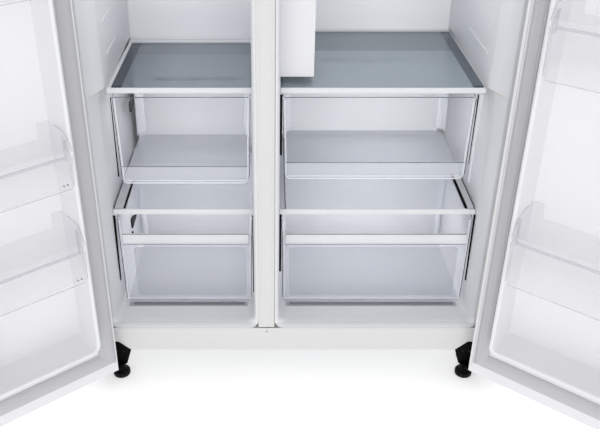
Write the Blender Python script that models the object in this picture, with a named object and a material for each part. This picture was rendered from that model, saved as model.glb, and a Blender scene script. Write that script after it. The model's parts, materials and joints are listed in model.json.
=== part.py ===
"""Side by side refrigerator, standing on the floor with both doors open.

Cabinet coordinates: X to the right from the middle of the cabinet, Y from the
front flange towards the back, Z up from the floor. Door pieces are drawn shut
and then swung open on their pivots.
"""

import math

import bmesh
import bpy
from mathutils import Matrix, Vector

# The middle of the open object's footprint, from the middle of the cabinet's front.
FOOTPRINT_X = 0.0482
FOOTPRINT_Y = 0.1354

# Cabinet
WIDTH = 0.913
DEPTH = 0.650
TOP = 1.760
SHELL_BOTTOM = 0.0803
SHEET = 0.0015
TOUCH = 0.0003
SIDE_FLANGE = 0.030
TOP_FLANGE = 0.050
HALF = WIDTH / 2
RAIL_TOP = 0.1443

# Compartments
LINER = 0.0025
MOUTH_X = 0.4235
FLARE_DEPTH = 0.075
LOWER_WALL_X = 0.4075
UPPER_WALL_X = 0.392
FREEZER_RIGHT = -0.0905
FRIDGE_LEFT = -0.0342
MULLION_LEFT = -0.0812
MULLION_RIGHT = -0.0442
MULLION_DEPTH = 0.010
FLOOR = 0.159
CEILING = TOP - TOP_FLANGE - 0.0035
STEP_HEIGHT = 0.375
STEP_DEPTH = 0.395
LEDGE_HEIGHT = 0.700
CAVITY_DEPTH = 0.500
FREEZER_DUCT_Y = 0.4005
FRIDGE_DUCT_Y = 0.478
DUCT_SHEET = 0.003

# Machine compartment
MACHINE_FRONT = 0.440
MACHINE_TOP = 0.325
PAN = 0.0022
PAN_TOP = SHELL_BOTTOM + PAN

# Shelves and drawers
SHELF_FRONT = 0.080
TRIM = 0.012
GLASS = 0.005
LOWER_SHELF = (0.4034, 0.4167)
UPPER_SHELF = (0.6925, 0.7045)
TOP_SHELF_HEIGHT = 1.020
SHELF_GAP = 0.0018
DRAWER_FRONT = 0.083
DRAWER_TOP = 0.683
DRAWER_WALL = 0.0025
UPPER_DRAWER_BACK = 0.352
LOWER_DRAWER_BACK = 0.383
BAND_INSET = 0.0085

# Doors
DOOR_OPENING = math.radians(141)
DOOR_BOTTOM = 0.056
DOOR_TOP = 1.758
DOOR_FRONT = -0.068
DOOR_BACK = -0.010
DOOR_CORNER = 0.012
LEFT_DOOR_WIDTH = 0.3915
RIGHT_DOOR_WIDTH = 0.5155
PIVOT_X = 0.4378
PIVOT_Y = -0.0358
CAP = 0.0175
CAP_FACE = 0.029
DOOR_SHEET = 0.0012
GRIP_WIDTH = 0.038
GASKET_EDGE = 0.0068
GASKET_WIDTH = 0.0365
GASKET_HEIGHT = 0.0085
DIKE_BASE = 0.050
DIKE_TOP = 0.058
DIKE_HEIGHT = 0.055
DIKE_FLAT = 0.0085
DIKE_BASE_RISE = 0.104
DIKE_TOP_RISE = 0.121
POCKET_DEPTH = 0.022
BIN_EDGE = 0.0702
BIN_REACH = 0.075
BIN_WALL = 0.0022

# Hinges, feet and rollers
PIN_RADIUS = 0.005
SOCKET_RADIUS = 0.0058
HINGE_SHELF = (0.0400, 0.0430)
HINGE_PLATE = 0.0027
FOOT_X = 0.4128
FOOT_Y = 0.009
FOOT_RADIUS = 0.0205
STUD_RADIUS = 0.0045
ROLLER_X = 0.405
ROLLER_Y = 0.585
ROLLER_RADIUS = 0.020
AXLE_RADIUS = 0.004

# Cooling
CONDENSER_FAN = Vector((-0.075, 0.545, 0.205))
CONDENSER_FAN_RADIUS = 0.072
EVAPORATOR_FAN = Vector((-0.241, 0.452, 0.745))
EVAPORATOR_FAN_RADIUS = 0.055
SHAFT_RADIUS = 0.003

WHITE_PAINT = ((0.86, 0.86, 0.87), 0.35, 0.0)
GREY_PAINT = ((0.55, 0.56, 0.58), 0.45, 0.2)
BLACK_PAINT = ((0.015, 0.015, 0.017), 0.45, 0.2)
STEEL = ((0.55, 0.56, 0.57), 0.4, 0.9)
COPPER = ((0.72, 0.42, 0.26), 0.35, 0.9)
ALUMINIUM = ((0.75, 0.76, 0.78), 0.35, 0.9)
LINER_PLASTIC = ((0.80, 0.80, 0.82), 0.35, 0.0)
WHITE_PLASTIC = ((0.84, 0.84, 0.86), 0.3, 0.0)
CLEAR_PLASTIC = ((0.72, 0.75, 0.80), 0.15, 0.0)
TINTED_GLASS = ((0.45, 0.52, 0.57), 0.08, 0.0)
RUBBER = ((0.50, 0.50, 0.52), 0.7, 0.0)
BLACK_PLASTIC = ((0.02, 0.02, 0.022), 0.5, 0.0)
FOAM = ((0.85, 0.78, 0.55), 0.9, 0.0)
LAMP_PLASTIC = ((0.9, 0.9, 0.88), 0.4, 0.0)

AXES = {"X": (1, 2, 0), "Y": (0, 2, 1), "Z": (0, 1, 2)}


# ---- shapes ----------------------------------------------------------------


def made(name, bm, look=None):
    """A bmesh as a named object, with its faces turned out and its finish set."""
    bmesh.ops.recalc_face_normals(bm, faces=bm.faces)
    mesh = bpy.data.meshes.new(name)
    bm.to_mesh(mesh)
    bm.free()
    obj = bpy.data.objects.new(name, mesh)
    bpy.context.scene.collection.objects.link(obj)
    if look:
        finish(obj, look)
    return obj


def finish(obj, look):
    """Gives an object its own material from a (colour, roughness, metallic) triple."""
    colour, roughness, metallic = look
    material = bpy.data.materials.new(obj.name)
    material.use_nodes = True
    shader = material.node_tree.nodes["Principled BSDF"]
    shader.inputs["Base Color"].default_value = (*colour, 1)
    shader.inputs["Roughness"].default_value = roughness
    shader.inputs["Metallic"].default_value = metallic
    obj.data.materials.clear()
    obj.data.materials.append(material)


def smooth(obj, degrees=35):
    obj.data.shade_smooth()
    obj.data.set_sharp_from_angle(angle=math.radians(degrees))
    return obj


def loft(name, loops, look=None, ring=False):
    """Skins equal loops one to the next, then caps the ends or, for a ring, joins last to first."""
    bm = bmesh.new()
    rows = [[bm.verts.new(point) for point in loop] for loop in loops]
    pairs = list(zip(rows, rows[1:] + rows[:1] if ring else rows[1:]))
    for near, far in pairs:
        count = len(near)
        for i in range(count):
            bm.faces.new((near[i], near[(i + 1) % count], far[(i + 1) % count], far[i]))
    if not ring:
        bm.faces.new(rows[0])
        bm.faces.new(rows[-1])
    return made(name, bm, look)


def placed(point, height, axis):
    """A 2-D point at a height along an axis. Its own axes are the other two, in X, Y, Z order."""
    first, second, along = AXES[axis]
    out = [0.0, 0.0, 0.0]
    out[first], out[second], out[along] = point[0], point[1], height
    return tuple(out)


def prism(name, outline, low, high, look=None, axis="Z"):
    return loft(name, [[placed(p, h, axis) for p in outline] for h in (low, high)], look)


def box(name, low, high, look=None):
    outline = [(low[0], low[1]), (high[0], low[1]), (high[0], high[1]), (low[0], high[1])]
    return prism(name, outline, low[2], high[2], look)


def circle(centre, radius, sides):
    turns = [2 * math.pi * (i + 0.5) / sides for i in range(sides)]
    return [(centre[0] + radius * math.cos(a), centre[1] + radius * math.sin(a)) for a in turns]


def turned(name, centre, profile, look=None, axis="Z", sides=24):
    """A solid of revolution about an axis through centre, from (radius, height) pairs."""
    first, second, _ = AXES[axis]
    middle = (centre[first], centre[second])
    loops = [[placed(p, h, axis) for p in circle(middle, r, sides)] for r, h in profile]
    return smooth(loft(name, loops, look))


def rod(name, centre, radius, low, high, look=None, axis="Z", sides=16):
    return turned(name, centre, [(radius, low), (radius, high)], look, axis, sides)


def rounded(low, high, radius, steps=3):
    """A rectangle's outline with round corners, as 2-D points."""
    corners = [(high[0], high[1], 0), (low[0], high[1], 1), (low[0], low[1], 2), (high[0], low[1], 3)]
    points = []
    for x, y, quarter in corners:
        cx = x - radius if quarter in (0, 3) else x + radius
        cy = y - radius if quarter in (0, 1) else y + radius
        for i in range(steps + 1):
            angle = math.pi / 2 * (quarter + i / steps)
            points.append((cx + radius * math.cos(angle), cy + radius * math.sin(angle)))
    return points


def ribbon(path, thickness):
    """The outline of a sheet of even thickness along a 2-D path, on the path's left."""
    offset = []
    for i, point in enumerate(path):
        here = Vector(point)
        before = (here - Vector(path[i - 1])).normalized() if i else None
        after = (Vector(path[i + 1]) - here).normalized() if i + 1 < len(path) else None
        run = ((before or after) + (after or before)).normalized()
        stretch = 1 / max(0.5, run.dot(after or before))
        offset.append(tuple(here + Vector((-run.y, run.x)) * thickness * stretch))
    return list(path) + offset[::-1]


def combined(target, tools, operation):
    """Applies a Boolean of each tool to the target, and removes the tools."""
    for tool in tools:
        modifier = target.modifiers.new(tool.name, "BOOLEAN")
        modifier.operation = operation
        modifier.object = tool
    graph = bpy.context.evaluated_depsgraph_get()
    graph.update()
    mesh = bpy.data.meshes.new_from_object(target.evaluated_get(graph))
    target.modifiers.clear()
    target.data = mesh
    for tool in tools:
        bpy.data.objects.remove(tool)
    return target


def fused(target, *tools):
    return combined(target, tools, "UNION")


def carved(target, *tools):
    return combined(target, tools, "DIFFERENCE")


def pivot(name, place, parent, turn=0.0):
    """An empty on a joint's axis, which the joint's pieces hang from."""
    empty = bpy.data.objects.new(name, None)
    bpy.context.scene.collection.objects.link(empty)
    empty.location = place
    empty.rotation_euler = (0, 0, turn)
    empty.parent = parent
    return empty


def hang(empty, place, *objects):
    """Parents objects drawn in cabinet coordinates to the empty that stands at place."""
    for obj in objects:
        obj.data.transform(Matrix.Translation(-Vector(place)))
        obj.parent = empty


# ---- cabinet ---------------------------------------------------------------


def cabinet_shell():
    """Painted wrap: two sides and a top in one sheet, with a flange turned in at the front."""
    shell = box("cabinet_shell", (-HALF, 0, SHELL_BOTTOM), (HALF, DEPTH, TOP), WHITE_PAINT)
    inside = HALF - SHEET
    opening = HALF - SIDE_FLANGE
    return carved(
        shell,
        box("hollow", (-inside, SHEET, 0), (inside, DEPTH + 1, TOP - SHEET)),
        box("mouth", (-opening, -1, 0), (opening, 1, TOP - TOP_FLANGE)),
        hinge_recess(-1),
        hinge_recess(1),
    )


def back_panel():
    edge = HALF - SHEET - TOUCH
    low = (-edge, DEPTH - SHEET, MACHINE_TOP + 0.012)
    return box("back_panel", low, (edge, DEPTH, TOP - SHEET - TOUCH), GREY_PAINT)


def compartment(side, grow, front):
    """The stacked blocks of one compartment's inside, grown by a margin: low, tall and upper."""
    mullion = FREEZER_RIGHT if side < 0 else FRIDGE_LEFT
    stack = (
        (LOWER_WALL_X, STEP_DEPTH, FLOOR, STEP_HEIGHT + 0.03),
        (LOWER_WALL_X, CAVITY_DEPTH, STEP_HEIGHT, LEDGE_HEIGHT),
        (UPPER_WALL_X, CAVITY_DEPTH, LEDGE_HEIGHT - 0.05, CEILING),
    )
    blocks = []
    for wall, depth, low, high in stack:
        outline = [
            (side * (MOUTH_X + grow), front),
            (side * (MOUTH_X + grow), 0),
            (side * (wall + grow), FLARE_DEPTH),
            (side * (wall + grow), depth + grow),
            (mullion - side * grow, depth + grow),
            (mullion - side * grow, front),
        ]
        blocks.append(prism("block", outline, low - grow, high + grow))
    return blocks


def liner(name, side):
    """Vacuum-formed liner: one compartment's walls, floor, ceiling and back, with a front lip."""
    outer = compartment(side, LINER, 0.0)
    inner_edge = MULLION_LEFT - TOUCH if side < 0 else MULLION_RIGHT + TOUCH
    edges = sorted((side * (HALF - SIDE_FLANGE - TOUCH), inner_edge))
    lip = box(name, (edges[0], 0, RAIL_TOP + TOUCH), (edges[1], LINER, CEILING + 0.0032), LINER_PLASTIC)
    return carved(fused(lip, *outer), *compartment(side, 0.0, -1.0))


def cabinet_insulation():
    """Foamed-in insulation between the wrap and the liners, with the machine compartment left out."""
    edge = HALF - SHEET - TOUCH
    foam = box(
        "cabinet_insulation",
        (-edge, SHEET + TOUCH, PAN_TOP + TOUCH),
        (edge, DEPTH - SHEET - TOUCH, TOP - SHEET - TOUCH),
        FOAM,
    )
    rail = box("rail", (-1, -1, 0), (1, 0.0225, RAIL_TOP + 0.001))
    machine = box("machine", (-1, MACHINE_FRONT, 0), (1, 1, MACHINE_TOP))
    high = CEILING + 0.01
    low_edge, far_edge = (MULLION_LEFT - 0.01, -1, 0), (MULLION_RIGHT + 0.01, MULLION_DEPTH + 0.002, high)
    mullion = box("mullion", low_edge, far_edge)
    reach = HALF - SIDE_FLANGE + 0.001
    lips = box("lips", (-reach, -1, 0), (reach, 0.004, high))
    grow = LINER + TOUCH
    hollows = compartment(-1, grow, -1.0) + compartment(1, grow, -1.0)
    return carved(foam, rail, machine, mullion, lips, *hollows)


def front_rail():
    """Painted channel across the front, under the compartments."""
    section = ribbon([(0.020, SHELL_BOTTOM), (0, SHELL_BOTTOM), (0, RAIL_TOP), (0.020, RAIL_TOP)], -SHEET)
    reach = HALF - SIDE_FLANGE - TOUCH
    rail = prism("front_rail", section, -reach, reach, WHITE_PAINT, axis="X")
    return carved(rail, hinge_recess(-1), hinge_recess(1))


def mullion_cover():
    """Flat painted strip between the two compartments, with its edges turned back."""
    left, right = MULLION_LEFT, MULLION_RIGHT
    section = ribbon([(left, MULLION_DEPTH), (left, 0), (right, 0), (right, MULLION_DEPTH)], SHEET)
    return prism("mullion_cover", section, RAIL_TOP + 0.003, CEILING + 0.0032, WHITE_PAINT)


def base_frame():
    """Steel pan under the cabinet, with the rear roller cheeks and their axles."""
    edge = HALF - SHEET - TOUCH
    pan = box("base_frame", (-edge, 0.0225, SHELL_BOTTOM), (edge, DEPTH - 0.004, PAN_TOP), STEEL)
    parts = []
    for side in (-1, 1):
        for offset in (-0.0175, 0.0145):
            x = side * ROLLER_X + offset
            low, high = (x, ROLLER_Y - 0.018, 0.012), (x + 0.003, ROLLER_Y + 0.018, PAN_TOP - 0.001)
            parts.append(box("cheek", low, high))
        low, high = side * ROLLER_X - 0.0165, side * ROLLER_X + 0.0165
        parts.append(rod("axle", (0, ROLLER_Y, ROLLER_RADIUS), AXLE_RADIUS, low, high, axis="X"))
    return fused(pan, *parts)


def rear_grille():
    """Sheet cover of the machine compartment, with two banks of air slots and the inlet's window."""
    edge = HALF - SHEET - TOUCH
    low, high = SHELL_BOTTOM + PAN + TOUCH, MACHINE_TOP + 0.0117
    cover = box("rear_grille", (-edge, DEPTH - SHEET, low), (edge, DEPTH, high), GREY_PAINT)
    slots = []
    for bank in (-0.30, 0.02):
        for row in range(9):
            z = 0.120 + row * 0.020
            slots.append(box("slot", (bank, 0.6, z), (bank + 0.24, 0.7, z + 0.009)))
    window = box("window", (0.3375, 0.6, 0.1975), (0.3825, 0.7, 0.2325))
    return carved(cover, *slots, window)


def power_inlet():
    """Appliance inlet in the rear cover: a flanged socket with three blades."""
    y = DEPTH + TOUCH
    flange = box("power_inlet", (0.330, y, 0.190), (0.390, y + 0.0025, 0.240), BLACK_PLASTIC)
    body = box("body", (0.338, DEPTH - 0.030, 0.198), (0.382, y + 0.001, 0.232))
    cavity = box("cavity", (0.3415, DEPTH - 0.026, 0.2015), (0.3785, 1, 0.2285))
    socket = carved(fused(flange, body), cavity)
    blades = []
    for x, z in ((0.352, 0.212), (0.360, 0.219), (0.368, 0.212)):
        low, high = (x - 0.001, DEPTH - 0.028, z - 0.0025), (x + 0.001, DEPTH - 0.012, z + 0.0025)
        blades.append(box("blade", low, high))
    return fused(socket, *blades)


# ---- shelves, drawers and inner fittings -----------------------------------


def shelf_frame(name, left, right, back, heights, rail_depth):
    """Shelf frame: front trim, two side rails under the glass and a raised bar behind it."""
    low, high = heights
    under = high - GLASS - 2 * TOUCH
    trim = box(name, (left, SHELF_FRONT, low), (right, SHELF_FRONT + TRIM, high), WHITE_PLASTIC)
    front = SHELF_FRONT + TRIM - 0.001
    return fused(
        trim,
        box("rail", (left, front, low), (left + rail_depth, back, under)),
        box("rail", (right - rail_depth, front, low), (right, back, under)),
        box("bar", (left, back - 0.001, low), (right, back + 0.006, high + 0.003)),
    )


def shelf_glass(name, left, right, back, heights):
    top = heights[1]
    low = (left + 0.0004, SHELF_FRONT + TRIM + TOUCH, top - GLASS)
    return box(name, low, (right - 0.0004, back - 0.001 - TOUCH, top), TINTED_GLASS)


def top_shelf(name, left, right, back):
    """Plain glass shelf with a ground edge, on the liner's ribs."""
    low = (left, SHELF_FRONT + 0.006, TOP_SHELF_HEIGHT)
    return box(name, low, (right, back, TOP_SHELF_HEIGHT + GLASS), TINTED_GLASS)


def tray(name, low, high, wall, draft, look, back_draft=None):
    """Open-topped box whose four sides lean in by the draft towards the bottom."""
    x0, y0, z0 = low
    x1, y1, z1 = high

    def level(inset, z):
        share = (z1 - z) / (z1 - z0)
        left, right = x0 + inset + draft * share, x1 - inset - draft * share
        front, back = y0 + inset, y1 - inset - (draft if back_draft is None else back_draft) * share
        return [(left, front, z), (right, front, z), (right, back, z), (left, back, z)]

    return loft(name, [level(0, z0), level(0, z1), level(wall, z1), level(wall, z0 + wall)], look)


def drawer(name, low, high, drafts, band, front_top):
    """Clear drawer with a pull band across its front, between two heights."""
    body = tray(name, low, high, DRAWER_WALL, drafts[0], CLEAR_PLASTIC, drafts[1])
    near = (low[0] + BAND_INSET, low[1] - 0.006, band[0])
    pull = box("pull", near, (high[0] - BAND_INSET, low[1] + 0.001, band[1]))
    body = fused(body, pull)
    if front_top < high[2]:
        below = (low[0] + 0.012, low[1] - 0.02, front_top)
        above = (high[0] - 0.012, low[1] + 0.012, high[2] + 0.1)
        body = carved(body, box("notch", below, above))
    return body


def slotted_panel(name, left, right, y, sheet, levels):
    """Rear air panel of a compartment, with a row of air slots at each level."""
    panel = box(name, (left, y, STEP_HEIGHT + 0.002), (right, y + sheet, CEILING - 0.012), WHITE_PLASTIC)
    middle = (left + right) / 2
    slots = []
    for z in levels:
        for i in (-1, 0, 1):
            x = middle + i * 0.075
            slots.append(box("slot", (x - 0.028, y - 0.1, z), (x + 0.028, y + 0.1, z + 0.010)))
    return carved(panel, *slots)


def freezer_duct_panel():
    """Rear panel of the freezer, which carries the evaporator fan's shaft."""
    left, right = -UPPER_WALL_X + SHELF_GAP, FREEZER_RIGHT - SHELF_GAP
    y, fan_y = FREEZER_DUCT_Y, EVAPORATOR_FAN.y
    panel = slotted_panel("freezer_duct_panel", left, right, y, DUCT_SHEET, (0.800, 1.120, 1.440))
    boss = rod("boss", EVAPORATOR_FAN, 0.012, y + 0.001, fan_y - 0.014, axis="Y")
    shaft = rod("shaft", EVAPORATOR_FAN, SHAFT_RADIUS, y + 0.01, fan_y + 0.008, axis="Y")
    return fused(panel, boss, shaft)


def air_duct_box():
    """Housing at the upper left of the fresh food side, open at the back onto the rear panel."""
    low = (FRIDGE_LEFT + TOUCH * 2, 0.100, 0.7208)
    high = (0.0368, FRIDGE_DUCT_Y - TOUCH, 0.990)
    wall = 0.0025
    housing = box("air_duct_box", low, high, WHITE_PLASTIC)
    hollow = box("hollow", (low[0] + wall, low[1] + wall, low[2] + wall), (high[0] - wall, 1, high[2] - wall))
    slots = []
    for z in (0.930, 0.945, 0.960):
        slots.append(box("slot", (low[0] + 0.012, 0, z), (high[0] - 0.012, 0.2, z + 0.006)))
    return carved(housing, hollow, *slots)


def fridge_lamp():
    """Lamp under the ceiling of the fresh food side."""
    outline = rounded((0.09, 0.19), (0.27, 0.25), 0.012)
    return prism("fridge_lamp", outline, CEILING - 0.0115, CEILING - TOUCH, LAMP_PLASTIC)


# ---- cooling system --------------------------------------------------------


def fin_pack(name, low, high, fins, look):
    """A coil: flat fins in a row along X, on four tubes that run through them."""
    step = (high[0] - low[0] - 0.002) / (fins - 1)
    plates = []
    for i in range(fins):
        x = low[0] + i * step
        plates.append(box(name if i == 0 else "fin", (x, *low[1:]), (x + 0.002, *high[1:])))
    tubes = []
    for y in (low[1] * 0.75 + high[1] * 0.25, low[1] * 0.25 + high[1] * 0.75):
        for z in (low[2] * 0.75 + high[2] * 0.25, low[2] * 0.25 + high[2] * 0.75):
            tubes.append(rod("tube", (0, y, z), 0.005, low[0] - 0.008, high[0] + 0.008, axis="X", sides=12))
    pack = fused(plates[0], *tubes)
    pack = fused(pack, *plates[1:])
    finish(pack, look)
    return pack


def condenser_coil():
    """Condenser block on the pan, with the arm and shaft that hold its fan."""
    low, high = (0.02, 0.480, 0.112), (0.20, 0.610, 0.300)
    pack = fin_pack("condenser_coil", low, high, 9, COPPER)
    fan = CONDENSER_FAN
    arm = box("arm", (fan.x + 0.024, 0.500, fan.z - 0.012), (fan.x + 0.030, 0.590, fan.z + 0.012))
    stays = []
    for y in (0.503, 0.583):
        stays.append(box("stay", (fan.x + 0.025, y, fan.z - 0.006), (0.0212, y + 0.004, fan.z + 0.006)))
    motor = rod("motor", fan, 0.020, fan.x + 0.008, fan.x + 0.026, axis="X", sides=20)
    shaft = rod("shaft", fan, SHAFT_RADIUS, fan.x - 0.010, fan.x + 0.012, axis="X")
    legs = []
    for y in (0.495, 0.585):
        legs.append(box("leg", (0.02, y, PAN_TOP + TOUCH), (0.20, y + 0.012, 0.118)))
    return fused(pack, arm, motor, shaft, *stays, *legs)


def evaporator():
    return fin_pack("evaporator", (-0.375, 0.415, 0.400), (-0.107, 0.488, 0.610), 11, ALUMINIUM)


def fan(name, centre, radius, axis, blades, look):
    """Axial fan: a bored hub with pitched blades."""
    first, second, along = AXES[axis]
    base = centre[along]
    hub = rod(name, centre, 0.014, base - 0.007, base + 0.007, look, axis, 24)
    parts = []
    for i in range(blades):
        blade = box("blade", (0.010, -0.016, -0.0012), (radius, 0.016, 0.0012))
        turn = Matrix.Rotation(2 * math.pi * i / blades, 4, "Z") @ Matrix.Rotation(math.radians(22), 4, "X")
        blade.data.transform(turn)
        order = Matrix.Identity(4)
        if axis == "X":
            order = Matrix(((0, 0, 1, 0), (1, 0, 0, 0), (0, 1, 0, 0), (0, 0, 0, 1)))
        if axis == "Y":
            order = Matrix(((0, 1, 0, 0), (0, 0, 1, 0), (1, 0, 0, 0), (0, 0, 0, 1)))
        blade.data.transform(Matrix.Translation(centre) @ order)
        parts.append(blade)
    wheel = fused(hub, *parts)
    bore = rod("bore", centre, SHAFT_RADIUS + 0.0006, base - 0.05, base + 0.05, axis=axis)
    return carved(wheel, bore)


def compressor():
    """Hermetic compressor: a seamed can on a mounting plate."""
    centre = (-0.27, 0.545, 0)
    foot = PAN_TOP + TOUCH
    profile = [(0.045, foot + 0.012), (0.070, foot + 0.028), (0.078, foot + 0.050), (0.078, foot + 0.085)]
    profile += [(0.083, foot + 0.086), (0.083, foot + 0.094), (0.078, foot + 0.095), (0.078, foot + 0.130)]
    profile += [(0.070, foot + 0.158), (0.048, foot + 0.176), (0.015, foot + 0.182)]
    can = turned("compressor", centre, profile, BLACK_PAINT)
    plate = box("plate", (-0.375, 0.480, foot), (-0.165, 0.610, foot + 0.014))
    pipe = rod("pipe", (-0.300, 0.545, 0), 0.005, foot + 0.15, foot + 0.225, sides=12)
    return smooth(fused(can, plate, pipe))


# ---- hinges, feet and rollers ----------------------------------------------


def hinge_recess(side):
    """The space that a lower hinge's plate takes out of the front rail and the side flange."""
    outline = [(0.3940, 0.03), (0.3831, 0.0803), (0.4104, 0.1038), (0.4548, 0.1038), (0.4548, 0.03)]
    return prism("recess", [(side * x, z) for x, z in outline], -1, HINGE_PLATE + TOUCH, axis="Y")


def bottom_hinge(name, side):
    """Lower hinge: a plate let into the front rail and a shelf under the door with the pin on it."""
    low, high = HINGE_SHELF
    outline = [(0.3945, low), (0.3836, 0.0803), (0.4105, 0.1035), (0.4545, 0.1035), (0.4545, low)]
    plate = prism(name, [(side * x, z) for x, z in outline], 0, HINGE_PLATE, BLACK_PAINT, axis="Y")
    edges = sorted((side * 0.3945, side * 0.4545))
    shelf_outline = [(0.3945, 0.031), (0.3945, -0.020), (0.4180, -0.054), (0.4545, -0.054), (0.4545, 0.031)]
    shelf = prism("shelf", [(side * x, y) for x, y in shelf_outline], low, high)
    pin = rod("pin", (side * PIVOT_X, PIVOT_Y, 0), PIN_RADIUS, low + 0.001, DOOR_BOTTOM + 0.012)
    web = box("web", (edges[0], -0.0025, low + 0.0005), (edges[1], 0.004, low + 0.008))
    hinge = fused(plate, shelf, web, pin)
    return carved(hinge, rod("hole", (side * FOOT_X, FOOT_Y, 0), STUD_RADIUS + 0.0006, 0, 0.07))


def top_hinge(name, side):
    """Upper hinge: a plate on the cabinet top, with its pin down into the door."""
    low = TOP + TOUCH
    outline = [(0.405, 0.085), (0.405, 0.010), (0.418, -0.052), (0.4520, -0.052), (0.4520, 0.085)]
    plate = prism(name, [(side * x, y) for x, y in outline], low, low + HINGE_PLATE, STEEL)
    pin = rod("pin", (side * PIVOT_X, PIVOT_Y, 0), PIN_RADIUS, DOOR_TOP - 0.014, low + 0.001)
    return fused(plate, pin)


def top_hinge_cover(name, side):
    """Moulded cap over the upper hinge, open underneath."""
    low, high = TOP + 2 * TOUCH, TOP + 0.030
    outer = [(0.395, 0.105), (0.395, 0.000), (0.412, -0.060), (0.4550, -0.060), (0.4550, 0.105)]
    inner = [(0.399, 0.100), (0.399, 0.002), (0.4145, -0.0555), (0.4535, -0.0555), (0.4535, 0.100)]
    cover = prism(name, [(side * x, y) for x, y in outer], low, high, WHITE_PLASTIC)
    return carved(cover, prism("hollow", [(side * x, y) for x, y in inner], 0, high - 0.0025))


def levelling_foot(name, side):
    """Round foot on a threaded stud."""
    edge = FOOT_RADIUS
    profile = [(edge - 0.002, 0), (edge, 0.002), (edge, 0.010), (edge - 0.003, 0.013)]
    profile += [(0.0105, 0.016), (0.0105, 0.024), (STUD_RADIUS, 0.0245), (STUD_RADIUS, 0.074)]
    return turned(name, (side * FOOT_X, FOOT_Y, 0), profile, BLACK_PLASTIC)


def rear_roller(name, side):
    centre = (side * ROLLER_X, ROLLER_Y, ROLLER_RADIUS)
    half = 0.0135
    profile = [(ROLLER_RADIUS - 0.0015, centre[0] - half), (ROLLER_RADIUS, centre[0] - half + 0.0015)]
    profile += [(ROLLER_RADIUS, centre[0] + half - 0.0015), (ROLLER_RADIUS - 0.0015, centre[0] + half)]
    wheel = turned(name, centre, profile, BLACK_PLASTIC, axis="X", sides=32)
    bore = rod("bore", centre, AXLE_RADIUS + 0.0005, centre[0] - 0.03, centre[0] + 0.03, axis="X")
    return smooth(carved(wheel, bore))


# ---- doors -----------------------------------------------------------------


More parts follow.
